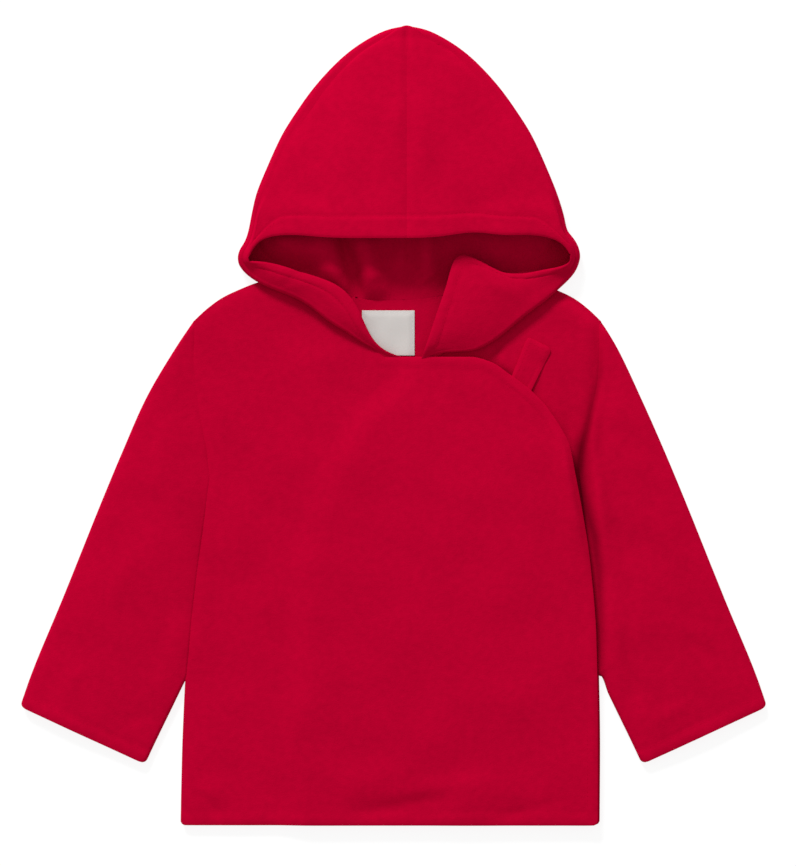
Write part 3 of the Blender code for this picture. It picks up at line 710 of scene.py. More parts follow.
def overlap_dressed(x, y):
    """Height of the overlap with its creases, its turned-up edges and its seams."""
    hem = y - HEM_Y
    wrap = distance_to(x, y, wrap_line())
    outer = np.minimum(distance_to(x, y, side_line(-1)), distance_to(x, y, shoulder_line(-1)))
    creases = fold_height(x, y, OVERLAP_CREASES) + uneven(x, y)
    calm = smoothstep(np.minimum(np.minimum(hem, wrap), outer) / EDGE_CALM)
    creases *= OVERLAP_KEPT + (1 - OVERLAP_KEPT) * calm
    bands = np.maximum(band(hem, HEM_BAND), band(wrap, WRAP_BAND))
    return overlap_height(x, y) + creases + bands + seam_dip(outer, -1) + OVERLAP_AIR


def underlap_dressed(x, y):
    """Height of the underlap with its creases and seams, never down in the back."""
    outer = np.minimum(distance_to(x, y, side_line(1)), distance_to(x, y, shoulder_line(1)))
    calm = smoothstep(outer / UNDERLAP_CALM)
    creases = fold_height(x, y, UNDERLAP_CREASES) + UNDERLAP_UNEVEN * uneven(x, y) * calm
    return np.maximum(underlap_height(x, y) + creases + seam_dip(outer, 1), BACK_LEVEL + LAYER_LEAST)


def back_dressed(x, y):
    """Height of the back, flat where it rests, where only a few folds stand up a little."""
    return BACK_LEVEL + fold_height(x, y, BACK_CREASES) * smoothstep((y - HEM_Y) / BACK_CALM)


def steady_rows(grid, last_rows):
    """More rows between the tabled ones, each column over its own rows, with the bends eased."""
    rows = grid.shape[0]
    fine = np.linspace(0, rows - 1, (rows - 1) * ROWS_BETWEEN + 1)
    made = np.empty((len(fine), *grid.shape[1:]))
    for column, last in enumerate(last_rows):
        knots = np.arange(last + 1.0)
        at = np.minimum(fine, last)
        for axis in range(3):
            made[:, column, axis] = monotone(knots, grid[: last + 1, column, axis], at)
        count = last * ROWS_BETWEEN + 1
        for _ in range(EASE_ROUNDS):
            inner = made[1:count - 1, column]
            inner += EASE * (made[:count - 2, column] + made[2:count, column] - 2 * inner)
    return made


def with_back_folds(line):
    """The layer on the table along a line, raised at the folds inside the hood."""
    x, y = line.T
    above_seam = y - np.maximum(back_neck_y(x, -1), back_neck_y(x, 1))
    lift = np.maximum(fold_height(x, y, HOOD_FOLDS), 0.0) * smoothstep((above_seam - FOLD_FOOT) / FOLD_RISE)
    return np.column_stack([line, BACK_LEVEL + lift])


def neck_seam_point(side, share):
    """A point of the hood's edge along the front neckline."""
    start, foot = front_neckline(side, 2)
    return start + (foot - start) * share


def side_part(start, outer, out, under_z, foot, foot_z, swell):
    """From a strip's start over the outer edge and back below to a foot, as one line of points."""
    reach = min(TURN_REACH, (outer[2] - under_z) / 2)
    end = np.array(outer[:2]) - out * (WALL / 2 + reach)
    t = np.linspace(0, 1, STRIP_COLUMNS)
    strip = lerp(start, (*end, outer[2]), STRIP_COLUMNS)
    strip[:, 2] = start[2] + (outer[2] - start[2]) * t**STRIP_POWER + swell * np.sin(np.pi * t)
    turned = turn(strip[-1], (*end, under_z), out, reach, TURN_COLUMNS)
    below = lerp((*end, under_z), (*foot, foot_z), UNDER_COLUMNS)
    past_level = (np.linspace(0, 1, UNDER_COLUMNS) - UNDER_LEVEL) / (1 - UNDER_LEVEL)
    below[:, 2] = under_z + (foot_z - under_z) * smoothstep(past_level)
    return np.concatenate([strip, turned, below])


def front_part(seam_x, y, crown_z, start, power):
    """From the front seam to the start of the side's strip, drooping towards it."""
    t = 1 - (1 - np.linspace(0, 1, FRONT_COLUMNS + 1)[:-1]) ** COLUMN_POWER
    return np.column_stack([
        seam_x + (start[0] - seam_x) * t,
        y + (start[1] - y) * t**power,
        start[2] + (crown_z - start[2]) * np.cos(t * np.pi / 2),
    ])


def hood_outline(side, corner, lip):
    """The hood's outline and the outer edge beside the opening, and the directions off it."""
    top = np.array(HOOD_TOP)
    outline = np.column_stack([HOOD_MIDDLE + side * top[:, 1], top[:, 0] - top[:, 4]])
    outline = np.concatenate([outline, [row[5:7] for row in corner], [row[3:5] for row in lip]])
    along = np.gradient(outline, axis=0)
    out = -side * np.column_stack([along[:, 1], -along[:, 0]])
    out[: len(top), 0] += side * PEAK_TURN * PEAK_FADE ** np.arange(len(top))
    return outline, out / np.linalg.norm(out, axis=1)[:, None]


def closed_row(seam_x, y, crown_z, power, start, outer, out, foot, back_y):
    """A row above the opening, from the front seam round the side to the back's seam."""
    front = front_part(seam_x, y, crown_z, start, power)
    beside = side_part(start, outer, out, BACK_LEVEL, foot, BACK_LEVEL, STRIP_SWELL)
    back = with_back_folds(lerp(foot, (seam_x, back_y), BACK_COLUMNS + 1)[1:])
    return np.concatenate([front, beside, back])


def top_row(seam_x, row, place, out):
    """A row of the hood's top, the same on both sides of its middle."""
    y, half_width, crown_z, side_z, drop = row
    near_peak = min(1.0, half_width / PEAK_WIDTH)
    width = WALL / 2 + min(TURN_REACH, (side_z - BACK_LEVEL) / 2) + STRIP_WIDTH * near_peak
    start = (*(place - out * width), side_z + STRIP_RISE)
    foot = place - out * (width + near_peak)
    y -= WALL / 2 * (1 - near_peak)
    outer, back_y = (*place, side_z), y - BACK_DROP * drop
    return closed_row(seam_x, y, crown_z, TOP_DROOP, start, outer, out, foot, back_y)


def corner_row(seam_x, row, out):
    """A row round the opening's corner."""
    y, crown_z, *places, power, foot_x, foot_y, back_y = row
    start, outer = places[:3], places[3:]
    return closed_row(seam_x, y, crown_z, power, start, outer, out, (foot_x, foot_y), back_y)


def lip_row(side, row, out, share):
    """A row beside the opening, with nothing in front; share is its place down the back's rows."""
    edge, outer, (under_z, swell), (foot_x, foot_y, back_y) = row[:3], row[3:6], row[6:8], row[8:]
    if back_y is None:
        foot, foot_z = neck_seam_point(side, foot_x), FRONT_LEVEL + NECK_RISE
        back = np.repeat([[*foot, foot_z]], BACK_COLUMNS, axis=0)
    else:
        foot, foot_z = (foot_x, foot_y), BACK_LEVEL
        back_x = HOOD_MIDDLE + (NAPE[0] - HOOD_MIDDLE) * smoothstep(share) + side * SEAM_OFFSET / 2
        line = lerp(foot, (back_x, back_y), BACK_COLUMNS + 1)[1:]
        neck_y = back_neck_y(line[:, 0], side) + SEAM_OFFSET
        follow = share**4 * smoothstep(np.linspace(0, NECK_EASE, BACK_COLUMNS))
        line[:, 1] += (neck_y - line[:, 1]) * follow
        back = with_back_folds(line)
    beside = side_part(edge, outer, out, under_z, foot, foot_z, swell)
    return np.concatenate([np.repeat([edge], FRONT_COLUMNS, axis=0), beside, back])


def hood_grid(side, corner, lip):
    """Points of half the hood, row by row from the peak down, and the rows where cloth ends."""
    seam_x = HOOD_MIDDLE + side * SEAM_OFFSET / 2
    outline, outward = hood_outline(side, corner, lip)
    rows = [top_row(seam_x, *parts) for parts in zip(HOOD_TOP, outline, outward)]
    rows += [corner_row(seam_x, *parts) for parts in zip(corner, outward[len(rows):])]
    face_row = len(rows) - 1
    with_back = sum(row[-1] is not None for row in lip)
    rows += [
        lip_row(side, row, out, (index + 1) / with_back)
        for index, (row, out) in enumerate(zip(lip, outward[len(rows):]))
    ]
    grid = np.array(rows)
    neck_row = face_row + with_back
    last_rows = np.full(grid.shape[1], len(grid) - 1)
    last_rows[:FRONT_COLUMNS] = face_row
    last_rows[-BACK_COLUMNS:] = neck_row
    return steady_rows(grid, last_rows), face_row * ROWS_BETWEEN, neck_row * ROWS_BETWEEN


def at_distance(line, away, values=None):
    """The place at a distance along a line of points, or what values say there."""
    runs = run_lengths(line)
    values = line if values is None else values
    return np.array([np.interp(away, runs, column) for column in values.T])


def normals_of(grid, closed=False):
    """Directions square to a grid of points; a closed one joins its last column to its first."""
    if closed:
        grid = np.concatenate([grid[:, -1:], grid, grid[:, :1]], axis=1)
    along, across = np.gradient(grid, axis=(0, 1))
    square = np.cross(across, along)
    square /= np.maximum(np.linalg.norm(square, axis=2, keepdims=True), LEAST_LENGTH)
    return square[:, 1:-1] if closed else square


def own_material(piece, material):
    """Makes a material the only one of a piece."""
    piece.data.materials.clear()
    piece.data.materials.append(material)


def new_piece(name, points, faces, material):
    """A piece with a mesh of its own, from points in millimetres and the faces between them."""
    mesh = bpy.data.meshes.new(name)
    mesh.from_pydata((points * MM).tolist(), [], faces)
    piece = bpy.data.objects.new(name, mesh)
    bpy.context.scene.collection.objects.link(piece)
    own_material(piece, material)
    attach(piece, "root")
    return piece


def sheet_piece(name, grid, wall, rim, material, closed=False, missing=None):
    """One piece of cloth: a grid of points, its wall by Solidify and its edges rounded by Bevel."""
    rows, columns = grid.shape[:2]
    last = columns if closed else columns - 1
    faces = []
    for row in range(rows - 1):
        for column in range(last):
            if missing and missing(row, column):
                continue
            after = (column + 1) % columns
            faces.append((
                row * columns + column,
                row * columns + after,
                (row + 1) * columns + after,
                (row + 1) * columns + column,
            ))
    used = sorted({corner for face in faces for corner in face})
    place = {corner: index for index, corner in enumerate(used)}
    faces = [[place[corner] for corner in face] for face in faces]
    piece = new_piece(name, grid.reshape(-1, 3)[used], faces, material)
    bpy.ops.object.select_all(action="DESELECT")
    piece.select_set(True)
    bpy.context.view_layer.objects.active = piece
    solidify = piece.modifiers.new("Wall", "SOLIDIFY")
    solidify.thickness = wall * MM
    solidify.offset = 0.0
    bpy.ops.object.modifier_apply(modifier=solidify.name)
    if rim:
        bevel = piece.modifiers.new("Edge", "BEVEL")
        bevel.width = rim * MM
        bevel.segments = 3
        bevel.limit_method = "ANGLE"
        bevel.angle_limit = np.radians(60)
        bpy.ops.object.modifier_apply(modifier=bevel.name)
    piece.data.shade_smooth()
    return piece


def one_stitch():
    """The points and faces of a short rounded stitch along X, made from a sphere."""
    bpy.ops.object.select_all(action="DESELECT")
    bpy.ops.mesh.primitive_uv_sphere_add(segments=6, ring_count=4, radius=1.0)
    ball = bpy.context.object
    points = np.array([vertex.co[:] for vertex in ball.data.vertices])
    faces = [tuple(polygon.vertices) for polygon in ball.data.polygons]
    bpy.data.objects.remove(ball, do_unlink=True)
    points = points[:, [2, 0, 1]] * (STITCH_LENGTH / 2, STITCH_RADIUS, STITCH_RADIUS)
    return points, faces


def stitched(name, lines, material):
    """Stitches along lines of points; each line comes with the cloth's directions there."""
    pitch = bpy.context.scene.jacket_stitching.pitch
    shape, shape_faces = one_stitch()
    points, faces = [], []
    for line, upward in lines:
        for index in range(int(run_lengths(line)[-1] // pitch)):
            middle = (index + 0.5) * pitch
            ends = [at_distance(line, middle + side * STITCH_LENGTH / 2) for side in (-1, 1)]
            along = ends[1] - ends[0]
            along /= np.linalg.norm(along)
            up = at_distance(line, middle, upward)
            up -= along * (up @ along)
            up /= np.linalg.norm(up)
            turned = shape @ np.array([along, np.cross(up, along), up])
            first = len(points) * len(shape)
            points.append(turned + (ends[0] + ends[1]) / 2 - up * STITCH_SUNK)
            faces += [tuple(corner + first for corner in face) for face in shape_faces]
    piece = new_piece(name, np.concatenate(points), faces, material)
    piece.data.shade_smooth()
    return piece


def on_side(line, height, wall=WALL, way=1.0):
    """A stitch line's points on a sheet's upper side, or its lower for -1, and the way off it."""
    level = height(line[:, 0], line[:, 1]) + way * wall / 2
    return np.column_stack([line, level]), np.tile([0.0, 0.0, way], (len(line), 1))


def inset_line(line, away, way):
    """A line moved sideways by a distance, to the side of way."""
    return line + square_to(line, way) * away


class JacketCloth(bpy.types.PropertyGroup):
    wall: bpy.props.FloatProperty(
        name="Cloth Wall", description="Thickness of the fleece, in millimetres",
        default=WALL, min=1.0, max=4.0,
    )
    rim: bpy.props.FloatProperty(
        name="Edge Rounding", description="Rounding of the cloth's edges, in millimetres",
        default=0.85, min=0.0, max=1.0,
    )
    colour: bpy.props.FloatVectorProperty(
        name="Fleece Colour", description="Colour of the fleece and of its thread",
        subtype="COLOR", size=4, min=0.0, max=1.0, default=(0.412, 0.0006, 0.0225, 1.0),
    )
    nap: bpy.props.FloatProperty(
        name="Nap", description="Depth of the brushed nap, as a share of a short fleece's",
        subtype="FACTOR", default=1.0, min=0.0, max=3.0,
    )


class JacketStitching(bpy.types.PropertyGroup):
    pitch: bpy.props.FloatProperty(
        name="Stitch Pitch", description="Distance from stitch to stitch, in millimetres",
        default=STITCH_PITCH, min=1.5, max=6.0,
    )
    colour: bpy.props.FloatVectorProperty(
        name="Thread Colour", description="Colour of the stitches",
        subtype="COLOR", size=4, min=0.0, max=1.0, default=(0.39, 0.0005, 0.02, 1.0),
    )


class JacketLabel(bpy.types.PropertyGroup):
    colour: bpy.props.FloatVectorProperty(
        name="Satin Colour", description="Colour of the neck label",
        subtype="COLOR", size=4, min=0.0, max=1.0, default=(0.52, 0.49, 0.47, 1.0),
    )


class JacketStage(bpy.types.PropertyGroup):
    height: bpy.props.FloatProperty(
        name="Camera Height", description="Height of the camera above the floor",
        subtype="DISTANCE", unit="LENGTH", default=2.503, min=0.5, max=10.0,
    )
    key_power: bpy.props.FloatProperty(
        name="Key Light", description="Power of the soft light from beyond the hood, in watts",
        default=510.0, min=0.0, max=2000.0,
    )
    sky: bpy.props.FloatProperty(
        name="Sky", description="Strength of the even white light all round",
        default=0.62, min=0.0, max=5.0,
    )
    floor: bpy.props.FloatProperty(
        name="Floor Paleness", description="Share of the light that the floor gives back",
        subtype="FACTOR", default=0.18, min=0.0, max=1.0,
    )
    glow: bpy.props.FloatProperty(
        name="Floor Glow", description="Light that comes through the floor from below",
        default=0.85, min=0.0, max=2.0,
    )


def link(material, start, end):
    """Joins two sockets of a material's nodes."""
    material.node_tree.links.new(start, end)


def nap_group():
    """Node group: the brushed nap's height and its slight changes of tone, from Object coordinates."""
    group = bpy.data.node_groups.new("Fleece nap", "ShaderNodeTree")
    for name, kind, way, default in (
        ("Vector", "NodeSocketVector", "INPUT", None),
        ("Fibre Scale", "NodeSocketFloat", "INPUT", 900.0),
        ("Tuft Scale", "NodeSocketFloat", "INPUT", 210.0),
        ("Height", "NodeSocketFloat", "OUTPUT", None),
        ("Tone", "NodeSocketFloat", "OUTPUT", None),
    ):
        socket = group.interface.new_socket(name=name, in_out=way, socket_type=kind)
        if default is not None:
            socket.default_value = default
    nodes, join = group.nodes, group.links.new
    entry, leave = nodes.new("NodeGroupInput"), nodes.new("NodeGroupOutput")
    fibre, tuft, patch_tone = (nodes.new("ShaderNodeTexNoise") for _ in range(3))
    fibre.inputs["Detail"].default_value = 3.0
    fibre.inputs["Roughness"].default_value = 0.7
    tuft.inputs["Detail"].default_value = 2.0
    patch_tone.inputs["Scale"].default_value = 34.0
    patch_tone.inputs["Detail"].default_value = 2.0
    for noise in (fibre, tuft, patch_tone):
        join(entry.outputs["Vector"], noise.inputs["Vector"])
    join(entry.outputs["Fibre Scale"], fibre.inputs["Scale"])
    join(entry.outputs["Tuft Scale"], tuft.inputs["Scale"])
    height, tone = nodes.new("ShaderNodeMix"), nodes.new("ShaderNodeMix")
    height.inputs["Factor"].default_value = 0.45
    tone.inputs["Factor"].default_value = 0.4
    join(fibre.outputs["Fac"], height.inputs["A"])
    join(tuft.outputs["Fac"], height.inputs["B"])
    join(tuft.outputs["Fac"], tone.inputs["A"])
    join(patch_tone.outputs["Fac"], tone.inputs["B"])
    join(height.outputs["Result"], leave.inputs["Height"])
    join(tone.outputs["Result"], leave.inputs["Tone"])
    return group


def plain_material(name, colour, roughness):
    """A material of one colour, and its shader node."""
    made = bpy.data.materials.new(name)
    made.use_nodes = True
    shader = made.node_tree.nodes["Principled BSDF"]
    shader.inputs["Base Color"].default_value = colour
    shader.inputs["Roughness"].default_value = roughness
    return made, shader


def fleece_material(name, colour, nap):
    """Matt cloth with a short brushed nap that lightens it at a slant, its colour darkened by painted shade
    along deep creases.
    """
    made, shader = plain_material(name, colour, roughness=0.95)
    shader.inputs["Specular IOR Level"].default_value = 0.0
    shader.inputs["Sheen Weight"].default_value = 0.12
    shader.inputs["Sheen Roughness"].default_value = 0.5
    shader.inputs["Sheen Tint"].default_value = (1.0, 0.0, 0.12, 1.0)
    nodes = made.node_tree.nodes
    place = nodes.new("ShaderNodeTexCoord")
    shared = nodes.new("ShaderNodeGroup")
    shared.node_tree = bpy.data.node_groups.get("Fleece nap") or nap_group()
    link(made, place.outputs["Object"], shared.inputs["Vector"])
    tones = nodes.new("ShaderNodeValToRGB")
    for stop, (place_on_ramp, tone) in zip(tones.color_ramp.elements, NAP_TONES):
        stop.position = place_on_ramp
        stop.color = [tone * part for part in colour[:3]] + [1.0]
    link(made, shared.outputs["Tone"], tones.inputs["Fac"])
    # Painted shade: the stored crease shade darkens the base colour, standing in for the shade inside deep
    # creases
    painted_shade, kept = nodes.new("ShaderNodeAttribute"), nodes.new("ShaderNodeMath")
    painted_shade.attribute_name = PAINTED_SHADE
    kept.operation = "SUBTRACT"
    kept.inputs[0].default_value = 1.0
    link(made, painted_shade.outputs["Fac"], kept.inputs[1])
    shaded_tone = nodes.new("ShaderNodeHueSaturation")
    link(made, tones.outputs["Color"], shaded_tone.inputs["Color"])
    link(made, kept.outputs["Value"], shaded_tone.inputs["Value"])
    link(made, shaded_tone.outputs["Color"], shader.inputs["Base Color"])
    bump = nodes.new("ShaderNodeBump")
    bump.inputs["Strength"].default_value = 0.55
    bump.inputs["Distance"].default_value = 0.0006 * nap
    link(made, shared.outputs["Height"], bump.inputs["Height"])
    link(made, bump.outputs["Normal"], shader.inputs["Normal"])
    return made


def satin_material(name, colour):
    """Smooth woven satin: fine threads across, with a soft gloss."""
    made, shader = plain_material(name, colour, roughness=0.34)
    nodes = made.node_tree.nodes
    place = nodes.new("ShaderNodeTexCoord")
    threads = nodes.new("ShaderNodeTexWave")
    threads.bands_direction = "Y"
    threads.inputs["Scale"].default_value = 420.0
    threads.inputs["Distortion"].default_value = 0.6
    link(made, place.outputs["Object"], threads.inputs["Vector"])
    bump = nodes.new("ShaderNodeBump")
    bump.inputs["Strength"].default_value = 0.25
    bump.inputs["Distance"].default_value = 0.0001
    link(made, threads.outputs["Fac"], bump.inputs["Height"])
    link(made, bump.outputs["Normal"], shader.inputs["Normal"])
    return made


def thread_of(name):
    """A dull thread in the setting's colour."""
    colour = bpy.context.scene.jacket_stitching.colour
    made, shader = plain_material(name, colour, roughness=0.9)
    shader.inputs["Specular IOR Level"].default_value = 0.0
    return made


def fleece_piece(name, grid, thinness=1.0, **options):
    """A piece of the fleece, its wall the setting's times thinness."""
    cloth = bpy.context.scene.jacket_cloth
    wall = cloth.wall * thinness
    material = fleece_material(f"{name} fleece", cloth.colour, cloth.nap)
    piece = sheet_piece(name, grid, wall, cloth.rim * wall / WALL, material, **options)
    return piece


def paint_crease_shade(piece):
    """Store on a piece's upper side its painted shade: how much the fleece's colour is darkened along the
    deep crease lines, standing in for the shade there.
    """
    mesh = piece.data
    at = np.empty(3 * len(mesh.vertices))
    mesh.vertices.foreach_get("co", at)
    at = at.reshape(-1, 3) / MM
    painted_shade = np.zeros(len(at))
    for line in PAINTED_SHADE_LINES:
        for start, end in zip(np.array(line[:-1]), np.array(line[1:])):
            along = end[:2] - start[:2]
            share = np.clip((at[:, :2] - start[:2]) @ along / (along @ along), 0, 1)
            near = start + share[:, None] * (end - start)
            away = np.linalg.norm(at[:, :2] - near[:, :2], axis=1)
            painted_shade = np.maximum(painted_shade, near[:, 3] * np.exp(-((away / near[:, 2]) ** 2)))
    painted_shade *= smoothstep(at[:, 2] - PAINTED_SHADE_LEVEL)
    stored = mesh.attributes.new(PAINTED_SHADE, "FLOAT", "POINT")
    stored.data.foreach_set("value", painted_shade)
    return piece


def panel(left, top, right, rounded=(-1, 1)):
    """A body panel's flat points, between its sides, its top edge and its straight hem."""
    flat = patch(lerp(left[0], right[0], len(top)), top, left, right)
    for side in rounded:
        round_corner(flat, side)
    return flat


def build_back():
    """The back, whole from side to side."""
    right, left = [
        np.concatenate([
            shoulder_line(side, SHOULDER_COLUMNS)[::-1], back_neckline(side, NECK_COLUMNS)[1:],
        ])
        for side in (-1, 1)
    ]
    top = np.concatenate([right, left[::-1][1:]])
    flat = panel(side_line(-1, PANEL_ROWS), top, side_line(1, PANEL_ROWS))
    return fleece_piece("back_cloth", with_height(flat, back_dressed))


def build_overlap():
    """The overlap, from the wearer's right side to its free edge."""
    top = np.concatenate([
        shoulder_line(-1, SHOULDER_COLUMNS)[::-1],
        front_neckline(-1, NECK_COLUMNS)[1:],
        smooth_curve(WRAP_TOP, WRAP_COLUMNS)[1:],
    ])
    flat = panel(side_line(-1, PANEL_ROWS), top, smooth_curve(WRAP_SIDE[::-1], PANEL_ROWS))
    return fleece_piece("overlap_cloth", with_height(flat, overlap_dressed))


def build_underlap():
    """The underlap, from its hidden edge to the wearer's left side."""
    neck = front_neckline(1, NECK_COLUMNS)[::-1]
    top = np.concatenate([neck, shoulder_line(1, SHOULDER_COLUMNS)[1:]])
    hidden_edge = smooth_curve(UNDERLAP_EDGE[::-1], PANEL_ROWS)
    flat = panel(hidden_edge, top, side_line(1, PANEL_ROWS), (1,))
    # The underlap gets painted shade along its deep creases beside the wrap edge and the tab
    return paint_crease_shade(fleece_piece("underlap_cloth", with_height(flat, underlap_dressed)))


def hem_end(side):
    """Where a hem's stitch line ends at the body's side."""
    return leaned(((HEM_STITCH_HALF, HEM_Y + HEM_BAND),), side)[0]


def hem_stitching():
    """Stitches along the overlap's hem and round its free edge."""
    hem = lerp(hem_end(-1), (WRAP_SIDE[-1][0] - WRAP_BAND, HEM_Y + HEM_BAND), LINE_POINTS)
    wrap = inset_line(wrap_line(), WRAP_BAND, (-1, -1))
    wrap = wrap[wrap[:, 1] > HEM_Y + HEM_BAND]
    lines = [on_side(line, overlap_dressed) for line in (hem, wrap)]
    return stitched("overlap_stitches", lines, thread_of("overlap thread"))


def back_hem_stitching():
    """Stitches along the back's hem, on the side that the jacket lies on."""
    hem = lerp(hem_end(-1), hem_end(1), LINE_POINTS)
    line = on_side(hem, back_dressed, way=-1.0)
    return stitched("back_stitches", [line], thread_of("back thread"))


def sleeve_rings(side):
    """Points of a sleeve: rings from the armhole to the cuff."""
    beside = leaned(SIDE[:-2], side)
    beside[:, 0] += side * SIDE_GAP
    free = np.array(SLEEVE_INNER_FREE) * (side, 1)
    inner = smooth_curve(np.concatenate([beside, free]), SLEEVE_ROWS)
    outer = np.array(SLEEVE_OUTER) * (side, 1)
    if side < 0:
        outer[1, 0] += RIGHT_EASE
    outer[0] = leaned(SHOULDER[-1:], side)[0] - (side * SHOULDER_TUCK, 0)
    outer = smooth_curve(outer, SLEEVE_ROWS)
    inward, outward = square_to(inner, (-side, 0)), square_to(outer, (side, 0))
    shares = np.linspace(0, 1, SLEEVE_ROWS)
    rings = np.array([sleeve_ring(*edges) for edges in zip(inner, outer, inward, outward, shares)])

    # The rings begin along the armhole's curve
    top = slice(0, SLEEVE_ACROSS)
    below = slice(SLEEVE_ACROSS + SLEEVE_ROUND, 2 * SLEEVE_ACROSS + SLEEVE_ROUND)
    armhole = smooth_curve(leaned(ARMHOLE[::-1], side), SLEEVE_ACROSS) - (side * SHOULDER_TUCK, 0)
    shoulder = smoothstep(np.linspace(SHOULDER_DRAW, 1, SLEEVE_ACROSS))[:, None]
    armhole -= shoulder * outward[0] * (FRONT_LEVEL - BACK_LEVEL) / 2
    away = armhole - rings[0, top, :2]
    fading = ((1 - shares) ** 3)[:, None, None]
    rings[:, top, :2] += fading * away
    rings[:, top.stop:below.start, :2] += fading * away[-1]
    rings[:, below, :2] += fading * away[::-1]
    rings[:, below.stop:, :2] += fading * away[0]
    return rings


def runs_to_end(rings):
    """Each point's distance along its column to the last row."""
    steps = np.linalg.norm(np.diff(rings, axis=0), axis=2)
    return np.concatenate([np.cumsum(steps[::-1], axis=0)[::-1], np.zeros((1, rings.shape[1]))])


def upper_share(rings, middle):
    """1 on the sleeve's upper layer, 0 on the one that it lies on, and between them at its edges."""
    return smoothstep((rings[..., 2] - middle + LAYER_EASE) / (2 * LAYER_EASE))


def round_cuff(rings):
    """Draws the cuff's edge back at the sleeve's two folds, so that its corners are round."""
    end = rings[-1, :, :2].copy()
    across = end[SLEEVE_ACROSS - 1] - end[0]
    across /= np.linalg.norm(across)
    along = (end - end[0]) @ across
    near = np.clip(1 - np.minimum(along - along.min(), along.max() - along) / CORNER_RADIUS, 0, 1)
    back = rings[-4, :, :2] - end
    back /= np.linalg.norm(back, axis=1)[:, None]
    drawn = CORNER_RADIUS * (1 - np.sqrt(1 - near**2))[:, None] * back
    fading = np.linspace(0, 1, CUFF_ROWS)[:, None, None] ** 2
    rings[-CUFF_ROWS:, :, :2] += fading * drawn
    return rings


def dressed_sleeve(side):
    """A sleeve's points with its creases, its turned-up cuff and its seam."""
    rings = round_cuff(sleeve_rings(side))
    to_cuff = runs_to_end(rings)
    upper = upper_share(rings, BACK_LEVEL + SLEEVE_FOLD_RISE / 2)
    x, y = rings[..., 0] * side, rings[..., 1]
    creases = LEFT_SLEEVE_CREASES if side > 0 else RIGHT_SLEEVE_CREASES
    from_seam = runs_to_end(rings[::-1])[::-1]
    lift = (fold_height(x, y, creases) + uneven(x * side, y)) * smoothstep(from_seam / EDGE_CALM)
    lift = np.maximum(lift + band(to_cuff, CUFF_BAND) + seam_dip(from_seam, side), SLEEVE_SINK)
    groove = STITCH_DIP * np.exp(-(((to_cuff - CUFF_BAND) / STITCH_DIP_HALF) ** 2))
    rings[..., 2] += upper * lift + (1 - upper) * groove
    return rings


def cuff_line(rings):
    """The stitch line round a cuff, with the directions off the cloth."""
    outward = normals_of(rings, closed=True)
    outward *= np.sign(outward[:, SLEEVE_ACROSS // 2, 2])[:, None, None]
    points, ways = [], []
    for column in list(range(rings.shape[1])) + [0]:
        line = rings[::-1, column]
        row = rings.shape[0] - 1 - int(np.searchsorted(run_lengths(line), CUFF_BAND))
        points.append(at_distance(line, CUFF_BAND) + outward[row, column] * WALL / 2)
        ways.append(outward[row, column])
    return np.array(points), np.array(ways)


def build_sleeve(side, whose):
    """One sleeve, folded flat, and the stitches round its cuff."""
    rings = dressed_sleeve(side)
    # The sleeve gets painted shade along the crevice beside the body
    sleeve = paint_crease_shade(fleece_piece(f"sleeve_{whose}_cloth", rings, closed=True))
    return sleeve, stitched(f"cuff_{whose}_stitches", [cuff_line(rings)], thread_of(f"cuff {whose} thread"))


def dressed_hood(side, corner, lip):
    """Half the hood's points with its bands, creases and seam, and the rows where its cloth ends."""
    grid, face_row, neck_row = hood_grid(side, corner, lip)
    rows, columns = grid.shape[:2]
    row_at, column_at = np.mgrid[:rows, :columns]
    front = column_at < FRONT_COLUMNS
    beside = column_at < FRONT_COLUMNS + STRIP_COLUMNS
    level = normals_of(grid)[..., 2] ** 2

    # Distance to the free edge, along the columns above it and along the rows beside it
    to_face = np.zeros((rows, columns))
    to_face[: face_row + 1] = runs_to_end(grid[: face_row + 1])
    across = np.linalg.norm(np.diff(grid, axis=1), axis=2)
    across = np.concatenate([np.zeros((rows, 1)), np.cumsum(across, axis=1)], axis=1)
    past = np.maximum(across - across[:, FRONT_COLUMNS:FRONT_COLUMNS + 1], 0.0)
    away = np.where(row_at <= face_row, np.hypot(to_face, past), past)
    away = np.where(beside, away, FAR)

    # The band is wide above the forehead and narrow beside the face
    from_middle = abs(grid[..., 0] - HOOD_MIDDLE)
    corner_x = from_middle[face_row, FRONT_COLUMNS]
    narrow = smoothstep((from_middle - corner_x + NARROW_BEFORE) / NARROW_WIDTH)
    width = np.where(row_at <= face_row, HOOD_BAND + (LIP_BAND - HOOD_BAND) * narrow, LIP_BAND)
    x, y = grid[..., 0], grid[..., 1]
    turn_column = FRONT_COLUMNS + STRIP_COLUMNS - 1
    to_turn = across[:, turn_column:turn_column + 1] - across
    calm = smoothstep(away / HOOD_CALM)
    lift = band(away, width) + uneven(x, y) * calm
    lift += np.where(front, fold_height(x, y, HOOD_CREASES) * calm, 0.0)
    lift += np.where(front, 0.0, fold_height(x, y, LIP_CREASES))
    lift -= np.where(front, HOOD_SEAM_DIP * np.exp(-((from_middle / HOOD_SEAM_HALF) ** 2)), 0.0)
    grid[..., 2] += np.where(beside, lift * level * smoothstep(to_turn / TURN_CALM), 0.0)
    for middle, half_width, rise in FOREHEAD_WAVES:
        wave = rise * np.exp(-(((x - middle) / half_width) ** 2) - (to_face / WAVE_REACH) ** 2)
        grid[..., 1] += np.where(front & (row_at <= face_row), wave, 0.0)
    return grid, width, face_row, neck_row


def walk(line, ways, away):
    """The place at a distance along a line on the cloth's upper side, and the direction off it."""
    way = at_distance(line, away, ways)
    way /= np.linalg.norm(way)
    return at_distance(line, away) + way * WALL / 2, way


